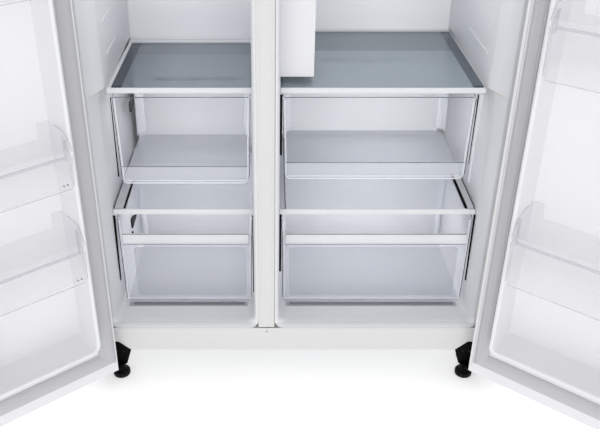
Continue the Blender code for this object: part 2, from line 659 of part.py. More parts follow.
class Door:
    """One door, drawn shut. s runs from the hinge side towards the free edge, n out of the inner face."""

    def __init__(self, side, width):
        self.side = side
        self.width = width
        self.name = "left_door" if side < 0 else "right_door"

    def at(self, s, y):
        return (self.side * (HALF - s), y)

    def outline(self, points):
        return [self.at(s, y) for s, y in points]

    def frame(self, s, z_low, z_high, n, radius):
        """A rounded rectangle across the door, inset by s at both sides, at height n over the inner face."""
        edges = sorted((self.at(s, 0)[0], self.at(self.width - s, 0)[0]))
        points = rounded((edges[0], z_low), (edges[1], z_high), radius)
        return [(x, DOOR_BACK + n, z) for x, z in points]

    def corner(self):
        """The round outer corner at the hinge side, as (s, y) points."""
        centre = Vector((DOOR_CORNER, DOOR_FRONT + DOOR_CORNER))
        turns = [math.pi + math.pi / 2 * i / 4 for i in range(5)]
        return [tuple(centre + DOOR_CORNER * Vector((math.cos(a), math.sin(a)))) for a in turns]

    def lip(self):
        """The front lip of the free edge, as (s, y) points from the front to the finger groove."""
        w = self.width
        return [(w - 0.015, DOOR_FRONT), (w - 0.012, -0.064), (w - 0.012, -0.058), (w - 0.030, -0.053)]

    def groove(self):
        """The finger groove's floor and the edge behind it, as (s, y) points up to the inner face."""
        w = self.width
        floor = [(w - 0.034, -0.047), (w - 0.034, -0.038), (w - 0.030, -0.032)]
        return [*floor, (w - 0.003, -0.028), (w, -0.025), (w, DOOR_BACK)]

    def skin(self):
        """Painted sheet: the hinge side's edge, the round corner, the front and the hem at its free edge."""
        path = self.outline([(0.0062, DOOR_BACK), (0, DOOR_BACK), *self.corner(), *self.lip()])
        section = ribbon(path, DOOR_SHEET if self.side < 0 else -DOOR_SHEET)
        low, high = DOOR_BOTTOM + CAP + TOUCH, DOOR_TOP - CAP - TOUCH
        return smooth(prism(self.name + "_skin", section, low, high, WHITE_PAINT), 40)

    def grip(self):
        """Full-height profile of the free edge: the finger groove behind the skin's lip."""
        w = self.width
        path = [(w - 0.0306, -0.0522), *self.groove(), (w - 0.0062, DOOR_BACK)]
        section = ribbon(self.outline(path), 0.002 if self.side < 0 else -0.002)
        low, high = DOOR_BOTTOM + CAP + TOUCH, DOOR_TOP - CAP - TOUCH
        return prism(self.name + "_grip", section, low, high, WHITE_PLASTIC)

    def cap(self, name, top):
        """End cap across the door, with a strip up the inner face and the hinge pin's socket."""
        w = self.width
        plan = [(0, DOOR_BACK), *self.corner(), *self.lip(), *self.groove()]
        low, high = (DOOR_TOP - CAP, DOOR_TOP) if top else (DOOR_BOTTOM, DOOR_BOTTOM + CAP)
        face = (DOOR_TOP - CAP_FACE, high - 0.001) if top else (low + 0.001, DOOR_BOTTOM + CAP_FACE)
        cap = prism(f"{self.name}_{name}", self.outline(plan), low, high, WHITE_PLASTIC)
        left, right = sorted((self.at(0.0066, 0)[0], self.at(w - 0.0066, 0)[0]))
        strip = box("strip", (left, DOOR_BACK - 0.0025, face[0]), (right, DOOR_BACK, face[1]))
        mouth = (DOOR_TOP - 0.0155, DOOR_TOP + 0.1) if top else (0, DOOR_BOTTOM + 0.0135)
        socket = rod("socket", (self.side * PIVOT_X, PIVOT_Y, 0), SOCKET_RADIUS, *mouth)
        return carved(fused(cap, strip), socket)

    def liner(self):
        """Inner liner with its foam core: a slab, a raised dike and the pocket that holds the bins."""
        w = self.width
        low, high = DOOR_BOTTOM, DOOR_TOP
        inside = (DOOR_FRONT + DOOR_SHEET + TOUCH, DOOR_BACK - 0.0030)
        plan = [(DOOR_SHEET + TOUCH, inside[1]), (DOOR_SHEET + TOUCH, inside[0] + DOOR_CORNER)]
        edge = w - GRIP_WIDTH - TOUCH
        plan += [(DOOR_CORNER, inside[0]), (edge, inside[0]), (edge, inside[1])]
        ends = (low + CAP + TOUCH, high - CAP - TOUCH)
        slab = prism(self.name + "_liner", self.outline(plan), *ends, LINER_PLASTIC)
        left, right = sorted((self.at(0.0066, 0)[0], self.at(w - 0.0066, 0)[0]))
        rim = (left, DOOR_BACK - 0.0040, low + CAP_FACE + TOUCH), (right, DOOR_BACK, high - CAP_FACE - TOUCH)
        dike = loft(
            "dike",
            [
                self.frame(DIKE_BASE, low + DIKE_BASE_RISE, high - DIKE_BASE_RISE, -0.002, 0.024),
                self.frame(DIKE_TOP, low + DIKE_TOP_RISE, high - DIKE_TOP_RISE, DIKE_HEIGHT, 0.020),
            ],
        )
        inner = DIKE_TOP + DIKE_FLAT
        rise = DIKE_TOP_RISE + DIKE_FLAT
        pocket = loft(
            "pocket",
            [
                self.frame(inner + 0.003, low + rise + 0.006, high - rise - 0.006, -POCKET_DEPTH, 0.012),
                self.frame(inner, low + rise, high - rise, DIKE_HEIGHT + 0.001, 0.012),
            ],
        )
        return carved(fused(slab, box("rim", *rim), dike), pocket)

    def gasket(self):
        """Magnetic gasket: a closed ring, bevelled outside to clear the cabinet as the door swings."""
        rise = CAP_FACE + 0.0006
        sections = (
            (GASKET_EDGE, 0, TOUCH),
            (GASKET_EDGE, 0, 0.0030),
            (GASKET_EDGE + 0.007, 0.007, GASKET_HEIGHT),
            (GASKET_EDGE + GASKET_WIDTH - 0.006, GASKET_WIDTH - 0.006, GASKET_HEIGHT),
            (GASKET_EDGE + GASKET_WIDTH, GASKET_WIDTH, 0.0030),
            (GASKET_EDGE + GASKET_WIDTH, GASKET_WIDTH, TOUCH),
        )
        loops = []
        for s, inset, n in sections:
            edges = sorted((self.at(s, 0)[0], self.at(self.width - s, 0)[0]))
            low, high = DOOR_BOTTOM + rise + inset, DOOR_TOP - rise - inset
            corners = [(edges[0], low), (edges[1], low), (edges[1], high), (edges[0], high)]
            loops.append([(x, DOOR_BACK + n, z) for x, z in corners])
        return loft(self.name + "_gasket", loops, RUBBER, ring=True)

    def bin(self, name, bottom, front_rim, end_rim):
        """Door bin: an open box whose end walls stand higher than its front."""
        left, right = sorted((self.at(BIN_EDGE, 0)[0], self.at(self.width - BIN_EDGE, 0)[0]))
        low = (left, DOOR_BACK - POCKET_DEPTH + 0.001, bottom)
        high = (right, DOOR_BACK + BIN_REACH, end_rim)
        body = tray(f"{self.name}_{name}", low, high, BIN_WALL, 0.002, CLEAR_PLASTIC)
        notch = box("notch", (left - 1, high[1] - 0.018, front_rim), (right + 1, high[1] + 1, end_rim + 1))
        return carved(body, notch)


def door(side, width, bins, root):
    """All of one door's pieces on their pivot, swung open."""
    one = Door(side, width)
    place = Vector((side * PIVOT_X, PIVOT_Y, 0))
    empty = pivot(one.name + "_pivot", place, root, side * DOOR_OPENING)
    pieces = [one.skin(), one.grip(), one.liner(), one.gasket()]
    pieces += [one.cap("bottom_cap", False), one.cap("top_cap", True)]
    pieces += [one.bin(*sizes) for sizes in bins]
    hang(empty, place, *pieces)


# ---- assembly --------------------------------------------------------------


def fixed_pieces():
    """Everything that stays with the cabinet."""
    pieces = [cabinet_shell(), back_panel(), liner("freezer_liner", -1), liner("fridge_liner", 1)]
    pieces += [cabinet_insulation(), front_rail(), mullion_cover(), base_frame(), rear_grille()]
    pieces += [power_inlet(), compressor(), condenser_coil(), evaporator()]
    pieces += [freezer_duct_panel(), air_duct_box(), fridge_lamp()]
    fridge_edges = (FRIDGE_LEFT + SHELF_GAP, UPPER_WALL_X - SHELF_GAP)
    levels = (0.620, 0.900, 1.250)
    pieces.append(slotted_panel("fridge_duct_panel", *fridge_edges, FRIDGE_DUCT_Y, DUCT_SHEET, levels))
    lower = LOWER_WALL_X - SHELF_GAP
    upper = UPPER_WALL_X - SHELF_GAP
    freezer, fridge = FREEZER_RIGHT - SHELF_GAP, FRIDGE_LEFT + SHELF_GAP
    shelves = (
        ("freezer_lower_shelf", -lower, freezer, 0.387, LOWER_SHELF, 0.020),
        ("freezer_upper_shelf", -upper, freezer, 0.387, UPPER_SHELF, 0.012),
        ("fridge_lower_shelf", fridge, lower, 0.466, LOWER_SHELF, 0.020),
        ("fridge_upper_shelf", fridge, upper, 0.466, UPPER_SHELF, 0.012),
    )
    for name, left, right, back, heights, rail in shelves:
        pieces.append(shelf_frame(name + "_frame", left, right, back, heights, rail))
        pieces.append(shelf_glass(name + "_glass", left, right, back, heights))
    pieces.append(top_shelf("freezer_top_shelf", -upper, freezer, 0.393))
    pieces.append(top_shelf("fridge_top_shelf", fridge, upper, 0.472))
    for side, word in ((-1, "left"), (1, "right")):
        pieces.append(bottom_hinge("bottom_hinge_" + word, side))
        pieces.append(top_hinge("top_hinge_" + word, side))
        pieces.append(top_hinge_cover("top_hinge_cover_" + word, side))
    return pieces


def moving_pieces(root):
    """Drawers, fans, feet and rollers, each on its own pivot."""
    lower, lower_band = (0.1625, 0.3920), (0.3252, 0.3527)
    upper_back, lower_back = (UPPER_DRAWER_BACK, (0.004, 0.030)), (LOWER_DRAWER_BACK, (0.003, 0.003))
    drawers = (
        ("freezer_upper_drawer", -0.3830, -0.0945, (0.4846, DRAWER_TOP), *upper_back, (0.4846, 0.5251), 1),
        ("freezer_lower_drawer", -0.4005, -0.0945, lower, *lower_back, lower_band, lower_band[1]),
        ("fridge_upper_drawer", -0.0282, 0.3750, (0.4957, DRAWER_TOP), *upper_back, (0.4957, 0.5348), 1),
        ("fridge_lower_drawer", -0.0282, 0.4035, lower, *lower_back, lower_band, lower_band[1]),
    )
    for name, left, right, heights, back, drafts, band, front_top in drawers:
        near, far = (left, DRAWER_FRONT, heights[0]), (right, back, heights[1])
        hang(pivot(name + "_pivot", near, root), near, drawer(name, near, far, drafts, band, front_top))
    fans = (
        ("condenser_fan", CONDENSER_FAN, CONDENSER_FAN_RADIUS, "X", 5, BLACK_PLASTIC),
        ("evaporator_fan", EVAPORATOR_FAN, EVAPORATOR_FAN_RADIUS, "Y", 5, WHITE_PLASTIC),
    )
    for name, centre, radius, axis, blades, look in fans:
        hang(pivot(name + "_pivot", centre, root), centre, fan(name, centre, radius, axis, blades, look))
    for side, word in ((-1, "left"), (1, "right")):
        foot = Vector((side * FOOT_X, FOOT_Y, 0))
        hang(pivot(f"foot_pivot_{word}", foot, root), foot, levelling_foot("levelling_foot_" + word, side))
        hub = Vector((side * ROLLER_X, ROLLER_Y, ROLLER_RADIUS))
        hang(pivot(f"roller_pivot_{word}", hub, root), hub, rear_roller("rear_roller_" + word, side))


def main():
    for obj in list(bpy.data.objects):
        bpy.data.objects.remove(obj)
    root = pivot("cabinet_origin", (-FOOTPRINT_X, -FOOTPRINT_Y, 0), None)
    hang(root, (0, 0, 0), *fixed_pieces())
    moving_pieces(root)
    left_bins = (
        ("lower_bin", 0.3775, 0.4545, 0.5030),
        ("middle_bin", 0.5907, 0.6620, 0.7000),
        ("upper_bin", 0.9500, 1.0220, 1.0550),
    )
    right_bins = (("lower_bin", 0.3715, 0.4765, 0.5255), ("middle_bin", 0.8060, 0.9050, 0.9400))
    door(-1, LEFT_DOOR_WIDTH, left_bins, root)
    door(1, RIGHT_DOOR_WIDTH, right_bins, root)
    bpy.context.view_layer.update()


main()
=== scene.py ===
import json
import math

import bmesh
import bpy
from mathutils import Matrix, Vector


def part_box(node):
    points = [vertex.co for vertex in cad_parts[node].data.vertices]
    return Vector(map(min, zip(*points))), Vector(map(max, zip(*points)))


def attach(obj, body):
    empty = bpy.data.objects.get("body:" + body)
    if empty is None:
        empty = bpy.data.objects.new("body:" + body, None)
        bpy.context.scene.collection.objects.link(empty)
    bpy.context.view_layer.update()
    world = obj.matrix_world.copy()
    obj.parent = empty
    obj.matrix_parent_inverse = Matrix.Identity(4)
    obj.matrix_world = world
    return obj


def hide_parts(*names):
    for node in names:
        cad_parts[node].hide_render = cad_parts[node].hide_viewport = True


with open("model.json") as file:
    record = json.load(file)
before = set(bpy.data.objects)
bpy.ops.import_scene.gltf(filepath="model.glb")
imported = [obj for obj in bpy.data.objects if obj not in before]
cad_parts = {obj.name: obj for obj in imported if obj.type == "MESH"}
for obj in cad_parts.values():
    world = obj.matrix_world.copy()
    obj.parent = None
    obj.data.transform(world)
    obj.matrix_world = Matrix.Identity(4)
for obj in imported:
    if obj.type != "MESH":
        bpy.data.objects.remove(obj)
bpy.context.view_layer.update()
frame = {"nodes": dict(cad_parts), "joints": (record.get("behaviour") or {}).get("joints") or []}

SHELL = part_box("cabinet_shell")
# The cabinet's own frame: X from its middle, Y back from its front flange, Z up from the floor.
ORIGIN = Vector(((SHELL[0].x + SHELL[1].x) / 2, SHELL[0].y, 0))
CABINET = Matrix.Translation(ORIGIN)
JOINTS = {joint["name"]: joint for joint in frame["joints"]}

# The camera, in the cabinet's frame
CAMERA_PLACE = Vector((-0.051, -1.448, 1.298))
CAMERA_PITCH = math.radians(90 - 30.1)
CAMERA_LENS = 47.3
CAMERA_SENSOR = 36
CAMERA_SHIFT = (0.0475, -0.0058)

# The studio's light
WORLD_LIGHT = 0.6
FLOOR_GLOW = 0.36
FLOOR_REACH = 28
# Lamps under the ceiling and the shelves: depth, height, slope, size, and watts in each compartment
INSIDE_LAMPS = (
    (0.2, 1.69, 0.1, (0.24, 0.24), (0.8, 0.95)),
    (0.16, 1.005, 0.0, (0.24, 0.2), (0.2, 0.24)),
    (0.17, 0.685, 0.1, (0.24, 0.05), (0.24, 0.37)),
    (0.2, 0.385, 0.6, (0.24, 0.06), (0.34, 0.46)),
)


def spot(node):
    """A CAD node's lowest and highest corner in the cabinet's frame."""
    low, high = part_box(node)
    return low - ORIGIN, high - ORIGIN


# ---- camera, light and floor ------------------------------------------------


def camera():
    data = bpy.data.cameras.new("camera")
    data.lens, data.sensor_width = CAMERA_LENS, CAMERA_SENSOR
    data.shift_x, data.shift_y = CAMERA_SHIFT
    data.clip_start, data.clip_end = 0.05, 60
    eye = bpy.data.objects.new("camera", data)
    eye.location = ORIGIN + CAMERA_PLACE
    eye.rotation_euler = (CAMERA_PITCH, 0, 0)
    bpy.context.scene.collection.objects.link(eye)
    bpy.context.scene.camera = eye


def lamp(name, place, target, size, watts):
    data = bpy.data.lights.new(name, "AREA")
    data.shape, data.size, data.size_y, data.energy = "RECTANGLE", size[0], size[1], watts
    light = bpy.data.objects.new(name, data)
    light.location = place
    light.rotation_euler = (Vector(target) - Vector(place)).to_track_quat("-Z", "Y").to_euler()
    light.visible_camera = light.visible_glossy = False
    bpy.context.scene.collection.objects.link(light)


def studio():
    world = bpy.data.worlds.new("studio")
    world.use_nodes = True
    world.node_tree.nodes["Background"].inputs["Color"].default_value = (1, 1, 1, 1)
    world.node_tree.nodes["Background"].inputs["Strength"].default_value = WORLD_LIGHT
    scene = bpy.context.scene
    scene.world = world
    scene.view_settings.view_transform = "Standard"
    scene.view_settings.look = "None"
    scene.cycles.transparent_max_bounces = 32
    scene.cycles.diffuse_bounces = 8
    lamp("front", (-0.12, -3.4, 1.5), (0, 0.3, 0.55), (2.8, 2.2), 43)
    lamp("ceiling", (0, -1.2, 3.6), (0, -1.2, 0), (4.0, 3.0), 6)
    for side, x in enumerate((-0.22, 0.19)):
        for depth, height, slope, area, watts in INSIDE_LAMPS:
            place = ORIGIN + Vector((x, depth, height))
            lamp("inside", place, place + Vector((0, slope, -1)), area, watts[side])


def ground():
    """A plain floor round the object."""
    bm = bmesh.new()
    for x, y in ((-1, -1), (1, -1), (1, 1), (-1, 1)):
        bm.verts.new((x * FLOOR_REACH, y * FLOOR_REACH, 0))
    bm.faces.new(bm.verts)
    mesh = bpy.data.meshes.new("floor")
    bm.to_mesh(mesh)
    bm.free()
    mesh.materials.append(FLOOR)
    floor = bpy.data.objects.new("floor", mesh)
    bpy.context.scene.collection.objects.link(floor)


# ---- materials ----------------------------------------------------------------


def noise(tree, place, scale, detail):
    node = tree.nodes.new("ShaderNodeTexNoise")
    node.inputs["Scale"].default_value = scale
    node.inputs["Detail"].default_value = detail
    tree.links.new(place, node.inputs["Vector"])
    return node.outputs["Fac"]


def shaded(tree, place, tint, axis, start, end, factor):
    """A tint that changes to a factor of itself from a start to an end along an axis."""
    parts = tree.nodes.new("ShaderNodeSeparateXYZ")
    tree.links.new(place, parts.inputs["Vector"])
    fall = tree.nodes.new("ShaderNodeMapRange")
    fall.inputs["From Min"].default_value, fall.inputs["From Max"].default_value = start, end
    fall.inputs["To Min"].default_value, fall.inputs["To Max"].default_value = 1, factor
    tree.links.new(parts.outputs[axis], fall.inputs["Value"])
    darker = tree.nodes.new("ShaderNodeVectorMath")
    darker.operation = "SCALE"
    tree.links.new(tint, darker.inputs[0])
    tree.links.new(fall.outputs["Result"], darker.inputs["Scale"])
    return darker.outputs["Vector"]


def surface(name, colour, roughness, metallic=0.0, vary=0.02, grain=24, bump=0.004, shade=(), **sockets):
    """A Principled material: broad and fine colour variation, uneven gloss and a fine bump.

    shade holds, for each darker part, its axis, where its change starts and ends, and how dark it is.
    """
    material = bpy.data.materials.new(name)
    material.use_nodes = True
    tree = material.node_tree
    shader = tree.nodes["Principled BSDF"]
    shader.inputs["Metallic"].default_value = metallic
    for socket, value in sockets.items():
        shader.inputs[socket.replace("_", " ")].default_value = value
    place = tree.nodes.new("ShaderNodeTexCoord").outputs["Object"]
    broad, fine = noise(tree, place, 2.6, 4), noise(tree, place, grain, 3)
    both = tree.nodes.new("ShaderNodeMath")
    both.operation = "MULTIPLY_ADD"
    both.inputs[1].default_value = 0.3
    tree.links.new(fine, both.inputs[0])
    tree.links.new(broad, both.inputs[2])
    ramp = tree.nodes.new("ShaderNodeValToRGB")
    dull, bright = ramp.color_ramp.elements
    dull.position, bright.position = 0.35, 0.95
    dull.color = (*[c * (1 - vary) for c in colour], 1)
    bright.color = (*[min(1, c * (1 + vary)) for c in colour], 1)
    tree.links.new(both.outputs[0], ramp.inputs["Fac"])
    tint = ramp.outputs["Color"]
    for change in shade:
        tint = shaded(tree, place, tint, *change)
    tree.links.new(tint, shader.inputs["Base Color"])
    gloss = tree.nodes.new("ShaderNodeMapRange")
    gloss.inputs["To Min"].default_value = roughness * 0.85
    gloss.inputs["To Max"].default_value = min(1, roughness * 1.15)
    tree.links.new(fine, gloss.inputs["Value"])
    tree.links.new(gloss.outputs["Result"], shader.inputs["Roughness"])
    if bump:
        relief = tree.nodes.new("ShaderNodeBump")
        relief.inputs["Strength"].default_value = bump
        relief.inputs["Distance"].default_value = 0.001
        tree.links.new(fine, relief.inputs["Height"])
        tree.links.new(relief.outputs["Normal"], shader.inputs["Normal"])
    return material


# How colour, grain and relief vary on each kind of surface that several materials share
PAINTED = {"vary": 0.012, "grain": 700, "bump": 0.02}
BLACKENED = {"vary": 0.3, "grain": 600, "bump": 0.1}
FORMED = {"vary": 0.01, "grain": 420, "bump": 0.006}
MOULDED = {"vary": 0.01, "grain": 500, "bump": 0.006}
CAST = {"vary": 0.03, "grain": 24, "bump": 0.004}
EDGED = {"vary": 0.1, "grain": 60, "bump": 0.004}
BORDERED = {"vary": 0.12, "grain": 40, "bump": 0.0}

# Painted shade and reflection: the liners darker at their front lips, the glass at the back and at the outer
# side
SIDE_LIP_SHADE = [("X", ORIGIN.x + hand * 0.416, ORIGIN.x + hand * 0.4185, 0.66) for hand in (-1, 1)]
BOTTOM_LIP_SHADE = [("Z", 0.1588, 0.157, 0.84)]
# The glass's dark back is a painted reflection of the back wall; its outer side is in painted shade
FREEZER_GLASS_SHADE = (("Y", ORIGIN.y + 0.287, ORIGIN.y + 0.292, 0.86),
                ("X", ORIGIN.x - 0.26, ORIGIN.x - 0.36, 0.72))
FRIDGE_GLASS_SHADE = (("Y", ORIGIN.y + 0.312, ORIGIN.y + 0.318, 0.68),)

PAINT = surface("white_paint", (0.66, 0.66, 0.66), 0.32, **PAINTED)
# A lighter copy of the white paint for the doors: painted light on their edges
DOOR_PAINT = surface("door_paint", (0.74, 0.74, 0.75), 0.32, **PAINTED)
SHEET = surface("grey_sheet", (0.5, 0.51, 0.53), 0.5, metallic=0.3, vary=0.05, grain=900, bump=0.1)
BLACK_PAINT = surface("black_paint", (0.002, 0.002, 0.0025), 0.5, Specular_IOR_Level=0.08, **BLACKENED)
SCREW_BLACK = surface("black_screw", (0.02, 0.02, 0.022), 0.3, metallic=0.5, **BLACKENED)
STEEL = surface("zinc_steel", (0.6, 0.61, 0.62), 0.35, metallic=1.0, vary=0.12, grain=350, bump=0.05)
COPPER = surface("copper", (0.72, 0.4, 0.24), 0.34, metallic=1.0, vary=0.15, grain=300, bump=0.05)
ALUMINIUM = surface("aluminium", (0.78, 0.79, 0.8), 0.33, metallic=1.0, vary=0.05, grain=500, bump=0.05)
# The liner plastic, with painted shade on its front lips
LINER = surface("liner_plastic", (0.735, 0.742, 0.762), 0.38, shade=SIDE_LIP_SHADE + BOTTOM_LIP_SHADE, **FORMED)
DOOR_LINER = surface("door_liner_plastic", (0.78, 0.78, 0.8), 0.5, **FORMED)
# Lighter copies of the liner plastic on the duct panels, the fridge's lightest: painted light on the back
# walls
FREEZER_DUCT = surface("freezer_duct_plastic", (0.83, 0.84, 0.86), 0.4, **MOULDED)
FRIDGE_DUCT = surface("fridge_duct_plastic", (0.95, 0.955, 0.97), 0.4, **MOULDED)
PLASTIC = surface("white_plastic", (0.76, 0.76, 0.785), 0.4, **MOULDED)
TRIM = surface("shelf_trim", (0.715, 0.725, 0.75), 0.3, **MOULDED)
CLEAR = surface("clear_plastic", (0.82, 0.835, 0.88), 0.08, Alpha=0.02, **CAST)
MARGIN = surface("clear_margin", (0.86, 0.88, 0.94), 0.1, Alpha=0.22, **CAST)
FROSTED = surface("frosted_floor", (0.56, 0.575, 0.62), 0.35, bump=0.01, Alpha=0.5)
BAND = surface("clear_band", (0.74, 0.76, 0.8), 0.1, Alpha=0.27)
# A lighter, less clear copy of the band for the lower drawers: painted light where their band lies in shade
LOW_BAND = surface("low_clear_band", (0.94, 0.95, 0.97), 0.1, Alpha=0.46)
PANEL = surface("clear_panel", (0.58, 0.6, 0.65), 0.15, Alpha=0.34)
BIN = surface("bin_plastic", (0.8, 0.8, 0.83), 0.14, Alpha=0.11)
# Grey of the bins' rims and posts, also painted shade on their dark edge lines
BIN_RIM = surface("bin_rim", (0.5, 0.5, 0.54), 0.14, Alpha=0.34)
GLINT = surface("clear_glint", (0.92, 0.93, 0.98), 0.1, grain=60, Alpha=0.5)
# Painted shade: dark lines where the clear plastic is seen end on, and in the gaps under the trims
EDGE = surface("clear_edge_shade", (0.1, 0.11, 0.145), 0.25, Alpha=0.7, **EDGED)
# Painted contact shadow on the floors at the drawers' feet
SHADE = surface("floor_contact_shadow", (0.26, 0.265, 0.3), 0.6, Alpha=0.22, **EDGED)
MARK = surface("bin_peg", (0.12, 0.12, 0.14), 0.3, vary=0.1, grain=300, bump=0.01)
FREEZER_GLASS = surface("freezer_glass", (0.27, 0.315, 0.365), 0.05, vary=0.05, grain=6, bump=0.0,
                        shade=FREEZER_GLASS_SHADE, Alpha=0.7, Specular_IOR_Level=0.3)
FRIDGE_GLASS = surface("fridge_glass", (0.335, 0.395, 0.44), 0.05, vary=0.03, grain=6, bump=0.0,
                       shade=FRIDGE_GLASS_SHADE, Alpha=0.7, Specular_IOR_Level=0.3)
CLEAR_GLASS = surface("clear_glass", (0.8, 0.82, 0.87), 0.2, grain=3, bump=0.0, Alpha=0.34,
                      Specular_IOR_Level=0.2)
# Dark borders of the upper glass: painted shade of the rails seen through it
GLASS_EDGE = surface("glass_edge_shade", (0.09, 0.115, 0.145), 0.1, Alpha=0.86, **BORDERED)
SLATE = surface("glass_border_shade", (0.055, 0.07, 0.09), 0.12, Alpha=0.9, Specular_IOR_Level=0.3, **BORDERED)
RUBBER = surface("gasket_rubber", (0.495, 0.495, 0.515), 0.62, grain=1500, bump=0.1)
BLACK_PLASTIC = surface("black_plastic", (0.004, 0.004, 0.005), 0.5, vary=0.2, grain=1200, bump=0.2,
                        Specular_IOR_Level=0.15)
# Black for the runner plates and stops, also painted shade in the gaps beside the drawers and the lower glass
DARK = surface("black_and_gap_shade", (0.002, 0.002, 0.003), 0.6, vary=0.2, grain=900, bump=0.1,
               Specular_IOR_Level=0.1)
FOAM = surface("foam", (0.8, 0.72, 0.48), 0.92, vary=0.1, grain=450, bump=0.8)
LAMP = surface("lamp_plastic", (0.88, 0.88, 0.85), 0.45, vary=0.01, grain=300, bump=0.03)
FLOOR = surface("floor", (0.95, 0.95, 0.95), 0.8, vary=0.003, grain=40, bump=0.0,
                Emission_Color=(1, 1, 1, 1), Emission_Strength=FLOOR_GLOW)


# ---- meshes ---------------------------------------------------------------------


def rounded(low, high, front, back=None, steps=6):
    """A rectangle's outline with round corners, as 2-D points, counter-clockwise.

    back is the radius of the two corners at its high end, where they have their own.
    """
    points = []
    for quarter in range(4):
        radius = front if back is None or quarter > 1 else back
        x = high[0] - radius if quarter in (0, 3) else low[0] + radius
        y = high[1] - radius if quarter in (0, 1) else low[1] + radius
        for i in range(steps + 1):
            angle = math.pi / 2 * (quarter + i / steps)
            points.append((x + radius * math.cos(angle), y + radius * math.sin(angle)))
    return points


def arc(centre, radius, start, end, steps=6):
    """2-D points along an arc, its angles in degrees."""
    turns = [math.radians(start + (end - start) * i / steps) for i in range(steps + 1)]
    return [(centre[0] + radius * math.cos(a), centre[1] + radius * math.sin(a)) for a in turns]


def lofted(bm, loops, cap=True, ring=False):
    """Skins equal loops of points one to the next, and closes the ends or joins last to first."""
    rows = [[bm.verts.new(point) for point in loop] for loop in loops]
    for near, far in zip(rows, rows[1:] + rows[:1] if ring else rows[1:]):
        count = len(near)
        for i in range(count):
            j = (i + 1) % count
            bm.faces.new((near[i], near[j], far[j], far[i]))
    if cap and not ring:
        bm.faces.new(rows[0])
        bm.faces.new(rows[-1])
    return rows


def axis_point(point, height, axis):
    """A 2-D point at a height along an axis. Its own axes are the other two, in X, Y, Z order."""
    out = list(point)
    out.insert("XYZ".index(axis), height)
    return tuple(out)


def extruded(bm, outline, low, high, axis="Z"):
    lofted(bm, [[axis_point(p, h, axis) for p in outline] for h in (low, high)])


def boxed(bm, low, high):
    (left, near, bottom), (right, far, top) = low, high
    extruded(bm, [(left, near), (right, near), (right, far), (left, far)], bottom, top)


def turned(bm, centre, profile, axis="Z", sides=48, wobble=None):
    """A solid of revolution about an axis, from (radius, height) pairs."""
    middle = [c for c, letter in zip(centre, "XYZ") if letter != axis]
    loops = []
    for radius, height in profile:
        loop = []
        for i in range(sides):
            a = 2 * math.pi * i / sides
            r = radius * (1 if wobble is None else wobble(i, radius))
            point = (middle[0] + r * math.cos(a), middle[1] + r * math.sin(a))
            loop.append(axis_point(point, height, axis))
        loops.append(loop)
    lofted(bm, loops)


def solid(draw, *measures, **how):
    """A new bmesh with one shape drawn in it."""
    bm = bmesh.new()
    draw(bm, *measures, **how)
    return bm


def ribbon(path, thickness):
    """The outline of a sheet of even thickness along a 2-D path, on the path's left."""
    offset = []
    for i, point in enumerate(path):
        here = Vector(point)
        before = (here - Vector(path[i - 1])).normalized() if i else None
        after = (Vector(path[i + 1]) - here).normalized() if i + 1 < len(path) else None
        run = ((before or after) + (after or before)).normalized()
        stretch = 1 / max(0.5, run.dot(after or before))
        offset.append(tuple(here + Vector((-run.y, run.x)) * thickness * stretch))
    return list(path) + offset[::-1]


def wire(bm, path, half, facing):
    """A square bead along a path of 3-D points, one of its sides towards facing."""
    points, facing = [Vector(point) for point in path], Vector(facing)
    loops = []
    for i, point in enumerate(points):
        along = points[min(i + 1, len(points) - 1)] - points[max(i - 1, 0)]
        across = along.cross(facing).normalized()
        corners = ((1, 1), (-1, 1), (-1, -1), (1, -1))
        loops.append([point + across * a * half + facing * b * half for a, b in corners])
    lofted(bm, loops)


def eased(obj, width):
    """Rounds an object's edges."""
    edge = obj.modifiers.new("edges", "BEVEL")
    edge.width, edge.segments, edge.limit_method = width, 3, "ANGLE"
    edge.angle_limit = math.radians(35)
    edge.harden_normals = True


def piece(name, bm, slot, material, stands_for=(), body="cabinet", place=CABINET,
          bevel=0.0, smooth=40, thick=0.0):
    """A finished piece from a bmesh drawn in the frame that place leads from."""
    if not thick:
        bmesh.ops.recalc_face_normals(bm, faces=bm.faces)
    mesh = bpy.data.meshes.new(name)
    bm.to_mesh(mesh)
    bm.free()
    mesh.transform(place)
    if place.determinant() < 0:
        mesh.flip_normals()
    mesh.shade_smooth()
    mesh.set_sharp_from_angle(angle=math.radians(smooth))
    mesh.materials.append(material)
    obj = bpy.data.objects.new(name, mesh)
    bpy.context.scene.collection.objects.link(obj)
    if thick:
        wall = obj.modifiers.new("wall", "SOLIDIFY")
        wall.thickness, wall.offset, wall.use_even_offset = thick, -1, True
    if bevel:
        eased(obj, bevel)
    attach(obj, body)
    if stands_for:
        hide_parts(*([stands_for] if isinstance(stands_for, str) else stands_for))


def keep(node, material, bevel=0.0, shrink=0.0):
    """A CAD node whose shape is right, with its edges eased and its finish set."""
    obj = frame["nodes"][node]
    obj.data.materials.clear()
    obj.data.materials.append(material)
    if bevel or shrink:
        weld = obj.modifiers.new("weld", "WELD")
        weld.merge_threshold = 0.00002
    if shrink:
        inward = obj.modifiers.new("shrink", "DISPLACE")
        inward.strength, inward.mid_level = -shrink, 0
    if bevel:
        eased(obj, bevel)


# ---- cabinet --------------------------------------------------------------------

FLOOR_LIP = 0.0145
OUTER_LIP = 0.01
INNER_LIP = 0.009
CEILING_LIP = 0.003
LIP_STEPS = 8
LINER_WALL = 0.0022
LINER_CORNER = 0.02
SHELF_GAP = 0.0018
# Depths at which the walls draw in behind the lip, and where the raised step at the back starts
FLARE = (0.045, 0.066, 0.076)
STEP_DEPTH = 0.395
# Support ribs on the outer wall of each compartment: height, front end and back end
WALL_RIBS = {
    -1: ((0.762, 0.128, 0.225), (0.834, 0.106, 0.225), (1.014, 0.09, 0.385)),
    1: ((0.767, 0.112, 0.28), (0.833, 0.106, 0.143), (1.014, 0.09, 0.385)),
}
RIB_HALF = 0.0035


